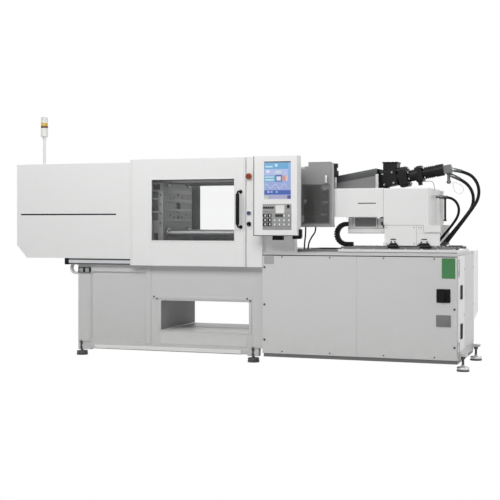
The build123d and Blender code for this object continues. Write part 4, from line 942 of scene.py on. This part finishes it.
class MACHINE_OT_clamp_trim(bpy.types.Operator):
    """Makes the cover's line, the lamp's trim, the rails' and the base's fittings, and painted
    shade and light on the rails, the base's flange and in its opening
    """
    bl_idname = "machine.clamp_trim"
    bl_label = "Clamp trim"

    def execute(self, context):
        half = context.scene.machine_sizes.stripe_height / MM / 2
        stripe = box(-1941, -990, -492.2, -490.9, 1243 - half, 1243 + half, 0.4)
        settle(stripe, "cover_line", "gasket rubber")
        band = groove(disc(33.6, 21, (LAMP_X, AXIS_Y, 2067.5), "z", 40, 1.5), Z, 1.2, 0.8)
        settle(band, "lamp_band", "brown lens")
        collar = disc(18, 26, (LAMP_X, AXIS_Y, 1962), "z", 28, 3)
        foot = press(disc(30, 10, (LAMP_X, AXIS_Y, 1697), "z", 32, 2.5), 7, 4, Z, 1)
        settle([collar, foot], "lamp_collars", "pale plastic")
        caps = [press(box(-1497, -1456, y, y + 54, 799, 856.5, 3), 8, -4, X) for y in (-492, 298)]
        settle(caps, "rail_end_caps", "black plastic")
        # Dark strips painted as the shade in the gaps above and below the rails' faces
        strips = [press(box(-1455, 226, -485, -479, z0, z1, 1), 2.5, -1.5)
                  for z0, z1 in ((840.5, 854), (801, 812))]
        settle(strips, "rail_shade_strips", "dark paint")
        places = level(-461.5, (-640, 531), (-613, 513), (216, 531), (243, 513))
        settle(socket_screws(8, 5, "y", places), "base_screws", "dark paint")
        posts = [press(box(x0, x1, y, CLAMP_SEAT, 119, 799, bevel), 7, -1.2)
                 for x0, x1, y, bevel in (
                     (-721, -668, -461, 2.4), (262, 364, -460, 2), (-1378, -1258, -460, 2))]
        frames = boxes((
            (-1378, -1361.5, -457, -395, 119, 799, 2),
            (-601, -577, -461, CLAMP_SEAT, 240, 501, 2), (230, 254, -461, CLAMP_SEAT, 240, 501, 2),
            (-601, 254, -461, CLAMP_SEAT, 230, 240, 2), (-668, 262, -461, CLAMP_SEAT, 512, 545, 2),
        ))
        settle(posts + frames, "base_ribs", "frame grey")
        # The base's flange is painted lighter than the base it belongs to, as a painted highlight,
        # and the dark strip under it is its painted shadow
        front_plates((
            ((-1212, 160, -466, CLAMP_SEAT, 65, 96, 2.5), 5, -0.8,
             "base_flange", "panel white", "cover_white"),
            ((-1210, 158, -461, CLAMP_SEAT, 60.5, 65.5, 0.8), 1, -0.5,
             "base_flange_shadow", "dark paint", "dark_grey"),
            ((-584, 214, -459, CLAMP_SEAT, 122, 229, 1.5), 9, -1.5,
             "chute_apron", "panel grey", "cover_white"),
        ))
        # Dark sheets on the opening's inner wall and floor: painted shade inside the opening
        liner = press(box(-577.5, -575.5, -450, 310, 243, 497, 0.5), 12, -0.6, X, 1)
        bed = press(box(-576, 229, -60, 312, 239.5, 241.5, 0.5), 12, -0.6, Z, 1)
        settle([liner, bed], "opening_liner", "hood grey")
        shoes = []
        for x0, x1, z0, pressed in (
            (-1380, -1256, 49, True), (215, 315, 49, True),
            (-1260, -1210, 61, False), (158, 219, 61, False),
        ):
            for y, sign in ((-455, -1), (255, 1)):
                shoe = box(x0, x1, y, y + 60, z0, 118.5, 3)
                shoes.append(press(shoe, 8, -2, Y, sign) if pressed else shoe)
        settle(shoes, "leg_shoes", "frame grey")
        studs = []
        for x, pad_x in ((-1348, -1346), (265, 265)):
            for y, pad_y in ((-458, -441), (318, 301)):
                studs.append(disc(7, 84, (x, y, 88), "z", 18, 1.2))
                studs += [disc(12, 11, (x, y, z), "z", 6, 1.2) for z in (66, 112)]
                studs.append(groove(disc(49, 24, (pad_x, pad_y, 25), "z", 44, 6), Z, 1.5, -1.5))
        settle(studs, "leg_studs", "dark paint")
        lids = [press(box(x - 19, x + 19, -473.5, -469, 734, 770, 1.5), 4, -1.5)
                for x in (-1342, -1283)]
        settle(lids, "socket_lids", "grey plastic")
        return {"FINISHED"}


class MACHINE_OT_doors(bpy.types.Operator):
    """Makes the gaskets and handle trims of the safety doors, grey lines painted as the shade at
    their sheet's fold lines, and dark sheets painted as shade on the rear door
    """
    bl_idname = "machine.doors"
    bl_label = "Safety doors"

    def execute(self, context):
        for (body, face, _), (z0, z1) in zip(DOOR_FACES, ((1008, 1547), (1097, 1544))):
            gasket = soften(hollow(box(-648, 129, face - 3, face + 3, z0, z1), Y, 9.6), 1.2)
            settle(gasket, f"{body}_gasket", "door white", body)
        for body, face, sign in DOOR_FACES:
            roses = [press(disc(15, 9, (178, face + sign * 4.5, z), "y", 28, 1.6), 4, 1.2, Y, sign)
                     for z in (1134, 1429)]
            grip = groove(disc(15, 262, (166, face + sign * 48, 1281.5), "z", 28, 5), Z, 0.6, 0.4)
            settle(roses + [grip], f"{body}_handle_roses", "gasket rubber", body)
            # Grey lines painted as the shade where the door sheet folds
            fold_shade_lines = [box(x, x + 1.6, face - 0.6, face + 0.6, 806, 1711, 0.2) for x in (-826, 206)]
            settle(fold_shade_lines, f"{body}_folds", "bracket grey", body)
        # Dark sheets on the rear door's inner face, beside and below its window: painted shade seen
        # through the front window
        border = press(box(-640, -545, 363, 369.8, 1105, 1536, 1), 6, -1)
        liner = box(-650, 150, 366, 369, 985, 1088, 0.8)
        settle([border, liner], "rear_pane_border", "dark paint", "rear_door")
        return {"FINISHED"}


class MACHINE_OT_mould_area(bpy.types.Operator):
    """Makes the bushes, pads, holes and side bracket of the moving platen, and the painted shade of
    the pockets in its side
    """
    bl_idname = "machine.mould_area"
    bl_label = "Mould area"

    def execute(self, context):
        body = "moving_platen_body"
        bushes = [hollow(disc(50, 14, (-572, y, z), "x", 40, 2), X, 16.5)
                  for y in (-300, 160) for z in (1077, 1537)]
        settle(bushes, "platen_bushes", "bar steel", body)
        pads = boxes((-581, -577, -380, 235, z - half, z + half, 1.5)
                     for z, half in ((1189, 13), (1278, 15), (1362, 15), (1441, 15)))
        settle(pads, "platen_pads", "cast iron", body)
        holes = [press(disc(13, 5, (-577.5, AXIS_Y, z), "x", 28, 1), 4, -2, X, 1)
                 for z in (1216, 1317, 1418)]
        # The pockets are flat dark patches on the platen's side: painted shade for recesses
        pockets = boxes((-735, -632, -391.6, PLATEN_SIDE, z0, z1, 0.5)
                        for z0, z1 in ((1388, 1512), (1274, 1368), (1120, 1254)))
        settle(holes + pockets, "platen_pockets", "dark paint", body)
        head, post, foot = boxes((
            (-690, -584, -396, PLATEN_SIDE, 1440, 1518, 2),
            (-630, -584, -397, PLATEN_SIDE, 1130, 1445, 2),
            (-694, -584, -396, PLATEN_SIDE, 992, 1190, 2),
        ))
        pick(foot, facing(Z, 1))
        bpy.ops.transform.resize(value=(0.44, 1.0, 1.0), center_override=spot(-584, -393, 1190))
        leave_edit()
        bars = boxes((-735, -628, -394, PLATEN_SIDE, z - 8, z + 8, 1) for z in (1378, 1264))
        settle([head, post, foot] + bars, "platen_side_bracket", "guard grey", body)
        holes = [press(box(x0, x1, -397.6, -395, z0, z1, 0.6), 5, -1.2)
                 for x0, x1, z0, z1 in ((-676, -612, 1456, 1502), (-668, -630, 1019, 1080))]
        settle(holes, "platen_side_holes", "gasket rubber", body)
        screws = socket_screws(8, 8, "y", [(-606, -398.5, z) for z in (1170, 1250, 1330, 1410)])
        settle(screws, "platen_side_screws", "dark paint", body)
        return {"FINISHED"}


# Control panel and buttons


def key_box(x, z, half_width, half_height, bevel=1.0):
    """A key of the operator panel."""
    return box(x - half_width, x + half_width, -638, -635, z - half_height, z + half_height, bevel)


class MACHINE_OT_operator_panel(bpy.types.Operator):
    """Makes the display, the keys and the frame of the operator panel, and its painted shadow edges
    """
    bl_idname = "machine.operator_panel"
    bl_label = "Operator panel"

    def execute(self, context):
        glass = box(424.5, 654.5, -634, -629, 1361.5, 1669.5, 0.6)
        settle(glass, "display", "display picture")
        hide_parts("hmi_screen")
        rim = soften(hollow(box(419, 660, -639, -631, 1356, 1675), Y, 6), 1.2)
        settle(rim, "display_rim", "panel white")
        plate = box(411.5, 658.5, -635.2, -632, 1110.5, 1321.5, 0.6)
        settle(plate, "key_plate", "grey plastic")
        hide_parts("hmi_keypad")
        marks, dark, grey = [], [], []
        for z in (1155, 1190, 1227):
            for column in range(6):
                if z == 1227 and column in (2, 3):
                    continue
                x = 431 + column * 40.5
                group = dark if column < 2 else grey
                group.append(press(key_box(x, z, 17, 15, 1.4), 3, -0.7))
                marks.append(box(x - 2, x + 9, -638.4, -636.6, z - 8, z + 8, 0.6))
        dark += [key_box(x, 1227, 7, 11) for x in (528, 545, 562, 579)]
        for x in (424, 443, 462, 481, 500):
            dark.append(key_box(x, 1292, 8, 8))
            grey.append(key_box(x, 1263, 8, 8))
        grey += [key_box(x, z, 8, 8) for x in (618, 642) for z in (1262, 1292)]
        settle(marks, "key_marks", "pale plastic")
        settle(grey, "keys_grey", "grey plastic")
        settle(dark, "keys_dark", "key cap dark")
        window = press(box(524, 598, -636.5, -634.5, 1246, 1312, 0.6), 3, -0.6)
        settle(window, "key_display", "pale plastic")
        # Dark strips painted as the shadow along the panel's left and lower edges
        edges = boxes((
            (332, 337.2, -637, -626, 1062, 1714, 0.6), (332, 704, -637, -560, 1061, 1066.4, 0.6),
        ))
        settle(edges, "panel_shadow_edges", "dark paint")
        knob = press(disc(12, 10, (632, -640, 1302), "y", 28, 1.5), 4, -2)
        settle(knob, "panel_knob", "black plastic")
        return {"FINISHED"}


class MACHINE_OT_buttons(bpy.types.Operator):
    """Makes the collars of the push buttons and the key switch, and the key's wing"""
    bl_idname = "machine.buttons"
    bl_label = "Buttons"

    def execute(self, context):
        for name, radius, wall, z, finish, slot in (
            ("e_stop_collar", 27, 13.1, 1556, "yellow plastic", "amber_plastic"),
            ("button_collar", 21, 3.3, 1250, "zinc steel", "bright_steel"),
            ("key_collar", 19, 3.3, 1158, "black plastic", "black_plastic"),
        ):
            collar = hollow(disc(radius, 5, (251, -518.4, z), "y", 40, 0.9), Y, wall)
            settle(collar, name, finish)
        wing = box(249, 253, -533, -519, 1149, 1163, 1)
        settle(wing, "key_wing", "bright steel", "key")
        return {"FINISHED"}


# Injection side


class MACHINE_OT_base_fittings(bpy.types.Operator):
    """Makes the latches, hinges, vents and plates of the injection base, its painted shadow line,
    and the painted shade in the end door's slots
    """
    bl_idname = "machine.base_fittings"
    bl_label = "Base fittings"

    def execute(self, context):
        latch = press(disc(9, 5, (0, -518, 0), "y", 28, 1), 3, -1.2)
        bar = box(-5.5, 5.5, -520.6, -518.6, -1.2, 1.2, 0.3)
        places = level(0, (387, 492), (1955, 489), (387, 200), (387, 800), (1955, 190))
        settle(copies(join([latch, bar]), places), "panel_latches", "dark paint")
        places = level(-517.5, (540, 886), (947, 884), (1391, 885), (1797, 883),
                       *((x, 108) for x in (540, 947, 1391, 1797)))
        settle(socket_screws(6, 4, "y", places), "panel_screws", "dark paint")
        strip = box(1167, 1175, -513, -509, 90, 904, 0.4)
        settle(strip, "panel_joint_strip", "panel grey")
        # A dark strip painted as the shadow under the base's top rim
        line = box(369, 1973, -517.4, -515.4, 897, 904, 0.4)
        settle(line, "base_shadow_line", "gasket rubber")
        # Dark dashes painted as the shade in the end door's slots
        slots = boxes((1987.6, 1989, -505, -478, z, z + 9, 0.3)
                      for z in (*range(744, 884, 14), *range(150, 234, 14)))
        settle(slots, "end_door_slots", "gasket rubber", "end_door_body")
        rod = disc(3.5, 112, (1939, -345, 985), "x", 16, 1)
        stem = disc(6, 31, (1947, -345, 967), "z", 20, 1.2)
        hub = disc(10, 7, (1947, -345, 955.5), "z", 6, 1)
        settle([rod, stem, hub], "bed_rod", "dark paint")
        pads = []
        for y in (-441, 301):
            pads.append(groove(disc(49, 22, (2010, y, 24), "z", 44, 6), Z, 1.5, -1.5))
            pads.append(disc(17, 12, (2010, y, 42), "z", 6, 1.5))
        settle(pads, "right_foot_pads", "zinc steel")
        front_plates((
            ((384, 469, -518.6, PANEL_SEAT, 829, 892, 1), 5, -0.8,
             "corner_plate", "bracket grey", "frame_grey"),
            ((1856, 1961, -518.2, PANEL_SEAT, 731, 890, 1), 4, -0.6,
             "green_plate", "green enamel", "grey_plastic"),
        ))
        rim = hollow(box(1811, 1927, -519, PANEL_SEAT, 350, 443), Y, 6)
        back = box(1814, 1924, -517, -515.4, 354, 439, 0.4)
        settle(back, "front_vent_back", "tray grey")
        blades = boxes((1816, 1922, -518.5, -509, z - 1.2, z + 1.2, 0.4)
                       for z in range(368, 439, 14))
        settle([rim] + blades, "front_vent", "hood grey")
        for name, z0, z1 in (("upper_filter", 560, 671), ("lower_filter", 246, 365)):
            rim = hollow(box(1980.5, 1988.6, -386, -304, z0, z1), X, 9)
            blades = boxes((1981.5, 1986, -380, -310, z0 + 7.6 + row * 9, z0 + 13.4 + row * 9, 0.5)
                           for row in range(11))
            settle([rim] + blades, name, "gasket rubber", "end_door_body")
        screws = socket_screws(7, 5, "x", [(1983.5, y, z) for y, z in (
            (353, 794), (322, 484), (-140, 279), (322, 168), (-140, 794))])
        settle(screws, "end_panel_screws", "zinc steel")
        latch = press(disc(12, 6, (1984, -195, 427), "x", 28, 1), 3, -1.2, X, 1)
        bar = box(1986, 1989, -202, -188, 425.8, 428.2, 0.3)
        screw = socket_screws(7, 5, "x", [(1983.5, -180, 794)])
        settle([latch, bar, screw], "end_door_latch", "zinc steel", "end_door_body")
        leaves = []
        for z in (183, 821):
            leaves.append(box(1981.6, 1984.6, -497, -462, z - 26, z + 26, 0.8))
            places = [(1985.4, -474, z - 16), (1985.4, -474, z + 16)]
            leaves.append(socket_screws(4, 3, "x", places))
        settle(leaves, "hinge_leaves", "zinc steel", "end_door_body")
        return {"FINISHED"}


class MACHINE_OT_rear_cabinet(bpy.types.Operator):
    """Makes the louvres and locks of the rear cabinet"""
    bl_idname = "machine.rear_cabinet"
    bl_label = "Rear cabinet"

    def execute(self, context):
        louvres = boxes((x, x + 226, 634, 641, z, z + 6, 1.2)
                        for x in (1217, 1617) for z in range(477, 632, 22))
        for louvre in louvres:
            pick(louvre, facing(Z, -1))
            bpy.ops.transform.translate(value=(0, 2 * MM, -2 * MM))
            leave_edit()
        # The louvres take the cabinet's lighter white, which is painted light
        settle(louvres, "cabinet_louvres", "bracket white")
        locks = [press(disc(13, 8, (x, 640, 640), "y", 28, 1.2), 4, -2, Y, 1) for x in (1500, 1582)]
        settle(locks, "cabinet_locks", "zinc steel")
        return {"FINISHED"}


class MACHINE_OT_bed_details(bpy.types.Operator):
    """Makes the screws of the bed and the apron, the grease blocks, the carriage's seams and its
    painted shadow lines
    """
    bl_idname = "machine.bed_details"
    bl_label = "Bed details"

    def execute(self, context):
        places = [(x, y, 972.5) for y in (-270, 130) for x in range(1010, 1960, 60)]
        settle(socket_screws(5, 3, "z", places), "rail_screws", "dark paint")
        places = [(x, y, 954.5) for y in (-378, 238) for x in range(1020, 1960, 130)]
        settle(socket_screws(9, 6, "z", places), "bed_screws", "zinc steel")
        blocks = []
        for x0, x1 in ((1407, 1456), (1653, 1718)):
            blocks.append(box(x0 - 26, x1 + 14, -334, -321, 981, 992, 1.5))
            blocks.append(box(x0 - 8, x1 + 4, -328, -321, 992, 1003, 1.2))
            blocks += [press(disc(6, 10, (x, -327, 1012), "y", 16, 1), 1.8, 2.5)
                       for x in (x0 + 6, x1 - 12)]
            blocks.append(disc(3.5, 44, ((x0 + x1) / 2 - 3, -325, 1034), "x", 14, 0.8))
        settle(blocks, "grease_blocks", "black paint", "carriage")
        corner = boxes((
            (1344, 1384, -321, -316, 1139, 1151, 1), (1327, 1345, -321, -316, 1146, 1175, 1),
        ))
        settle(corner, "cover_corner_bracket", "black paint", "carriage")
        centre = press(box(1084, 1262, -219, NOSE_SEAT, 1137, 1208, 1), 6, -1)
        lines = boxes((
            (1064.5, 1067.5, -219.5, NOSE_SEAT, 1132, 1212, 0.4),
            (1274.5, 1277.5, -219.5, NOSE_SEAT, 1132, 1212, 0.4),
            (1028, 1352, -228, -225.6, 1081, 1085, 0.6),
            (1028, 1352, -228, -225.6, 1120, 1123, 0.6),
        ))
        settle([centre] + lines, "nose_side_plate", "hood grey", "carriage")
        # The first two lines are the apron's seams; the rest are painted shadow under the rear
        # cover's lower edge and round the box at its right
        seams = boxes((
            (1618, 1620.4, -323.2, APRON_SEAT, 983, 1147, 0.3),
            (1356, 1806, -324, APRON_SEAT, 981, 985, 0.6),
            (1352, 1677, -323.4, APRON_SEAT, 1146.5, 1150.2, 0.6),
            (1677.4, 1680.2, -333.2, -331.4, 1091, 1149, 0.6),
            (1681, 1814, -333.2, -331.4, 1090.4, 1093, 0.6),
        ))
        settle(seams, "apron_seams", "bracket grey", "carriage")
        places = [(x, -323.5, z) for x in (1372, 1600, 1640, 1660) for z in (1000, 1130)]
        screws = socket_screws(6, 4, "y", places)
        settle(screws, "apron_screws", "zinc steel", "carriage")
        return {"FINISHED"}


SLOPE = 10  # degrees, of the barrel, its gearbox and its motor
PIVOT_X = 1271
PIVOT_Z = 1551 - 204 * math.tan(math.radians(SLOPE))


def settle_sloped(pieces, name, finish):
    """Turns pieces drawn level to the barrel's slope, and settles them on the carriage."""
    settle(tilt(join(pieces), SLOPE, PIVOT_X, PIVOT_Z), name, finish, "carriage")


class MACHINE_OT_injection_unit(bpy.types.Operator):
    """Makes the bolts, fins, bands and fittings of the inclined unit"""
    bl_idname = "machine.injection_unit"
    bl_label = "Injection unit"

    def execute(self, context):
        bolts = [hex_bolts(8.5, 7, circle(8, 68, PIVOT_X + 250, PIVOT_Z, 22.5)),
                 hex_bolts(9, 8, circle(4, 56, PIVOT_X + 378, PIVOT_Z, 45))]
        settle_sloped(bolts, "flange_bolts", "zinc steel")
        fins = [disc(51, 6, (PIVOT_X + x, AXIS_Y, PIVOT_Z), "x", 40, 1)
                for x in range(384, 449, 16)]
        fins += boxes((PIVOT_X + x - 2, PIVOT_X + x + 2, AXIS_Y - 84, AXIS_Y + 84,
                       PIVOT_Z - 50, PIVOT_Z + 50, 1) for x in (186, 202, 218))
        settle_sloped(fins, "motor_fins", "black paint")
        screws = socket_screws(8, 7, "y", [
            (PIVOT_X + x, y, PIVOT_Z + z) for y in (-149, 9) for z in (52, -36) for x in (40, 120)])
        settle_sloped([screws], "gearbox_screws", "zinc steel")
        ring = hollow(disc(40, 7, (1362, AXIS_Y, 1678.5), "z", 40, 1.2), Z, 9.5)
        settle(ring, "throat_ring", "bright steel", "carriage")
        nuts = [tilt(disc(19, 16, (x, y, z), "x", 6, 1.5), -turn, x, z)
                for x, y, z, turn in ((1880, UPPER_Y, 1604, 13), (1862, MIDDLE_Y, 1558, 26))]
        nuts.append(disc(16, 14, (1836, AXIS_Y + 20, 1506), "z", 6, 1.5))
        settle(nuts, "fitting_nuts", "zinc steel", "carriage")
        pipe = disc(9, 196, (1788, 60, 1284), "z", 24, 1.5)
        nuts = [disc(14, 14, (1788, 60, z), "z", 6, 1.5) for z in (1189, 1372)]
        settle([pipe] + nuts, "drain_pipe", "black paint", "carriage")
        bands = [groove(disc(61.5, 60, (x, AXIS_Y, PIVOT_Z), "x", 40, 1.5), X, 4, -1.0)
                 for x in (1231, 1141, 1051, 961)]
        settle_sloped(bands, "heater_bands", "zinc steel")
        lid = boxes((
            (924, 1268, -219, HOOD_SEAT, 1503, 1559.5, 1), (924, 1268, 75.5, 79, 1503, 1559.5, 1),
            (924, 1268, -219, 79, 1557.5, 1560, 1),
        ))
        settle(tilt(join(lid), SLOPE, 924, 1557), "hood_lid", "dark paint", "carriage")
        plate = box(1258, 1282, -221, HOOD_SEAT, 1454, 1572, 1.5)
        settle(plate, "hood_end_plate", "frame grey", "carriage")
        return {"FINISHED"}


class MACHINE_OT_guard(bpy.types.Operator):
    """Makes the nozzle guard's shell, gasket, grip and side brackets"""
    bl_idname = "machine.guard"
    bl_label = "Nozzle guard"

    def execute(self, context):
        shell = bpy.data.objects.new("guard_copy", NODES["guard_frame"].data.copy())
        context.scene.collection.objects.link(shell)
        edit_all(shell)
        bpy.ops.mesh.remove_doubles(threshold=0.00001)
        leave_edit()
        pick(shell, lambda centre, normal: centre.y > 0.2)
        bpy.ops.mesh.bisect(plane_co=spot(788, 0, 0), plane_no=(1, 0, 0), clear_outer=True,
                            use_fill=True)
        leave_edit()
        settle(shell, "guard_shell", "bracket grey")
        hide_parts("guard_frame")
        gasket = soften(hollow(box(661, 902, -342, -337, 1159, 1492), Y, 10), 1.2)
        settle(gasket, "guard_gasket", "skirt grey", "guard_door_body")
        grip = press(box(866, 882, -368, -360, 1499, 1562, 2), 3, 1.5)
        settle(grip, "guard_grip", "pale plastic", "guard_door_body")
        brackets = boxes((
            (927, 962, -338, -300, 1625, 1660, 2), (930, 966, -338, -300, 1545, 1600, 2),
            (936, 954, -336, -304, 1595, 1630, 1.5),
        ))
        settle(brackets, "guard_side_brackets", "black paint")
        return {"FINISHED"}


class MACHINE_PT_panel(bpy.types.Panel):
    """The machine's sizes and steps in the sidebar"""
    bl_label = "Moulding machine"
    bl_idname = "MACHINE_PT_panel"
    bl_space_type = "VIEW_3D"
    bl_region_type = "UI"
    bl_category = "Moulding machine"

    def draw(self, context):
        for group in (context.scene.machine_stage, context.scene.machine_sizes):
            for label in group.__annotations__:
                self.layout.prop(group, label)
        for operator in OPERATORS:
            self.layout.operator(operator.bl_idname)


GROUP_TYPES = (MachineStage, MachineSizes)
OPERATORS = (
    MACHINE_OT_stage, MACHINE_OT_finishes, MACHINE_OT_hoses, MACHINE_OT_cable_chain,
    MACHINE_OT_clamp_trim, MACHINE_OT_doors, MACHINE_OT_mould_area, MACHINE_OT_operator_panel,
    MACHINE_OT_buttons, MACHINE_OT_base_fittings, MACHINE_OT_rear_cabinet, MACHINE_OT_bed_details,
    MACHINE_OT_injection_unit, MACHINE_OT_guard,
)


def register():
    for cls in GROUP_TYPES + OPERATORS + (MACHINE_PT_panel,):
        bpy.utils.register_class(cls)
    bpy.types.Scene.machine_stage = bpy.props.PointerProperty(type=MachineStage)
    bpy.types.Scene.machine_sizes = bpy.props.PointerProperty(type=MachineSizes)


def unregister():
    del bpy.types.Scene.machine_sizes
    del bpy.types.Scene.machine_stage
    for cls in reversed(GROUP_TYPES + OPERATORS + (MACHINE_PT_panel,)):
        bpy.utils.unregister_class(cls)


def main():
    """Builds the whole machine."""
    register()
    deselect()
    for operator in OPERATORS:
        group, name = operator.bl_idname.split(".")
        getattr(getattr(bpy.ops, group), name)()
    deselect()


if __name__ == "__main__":
    main()
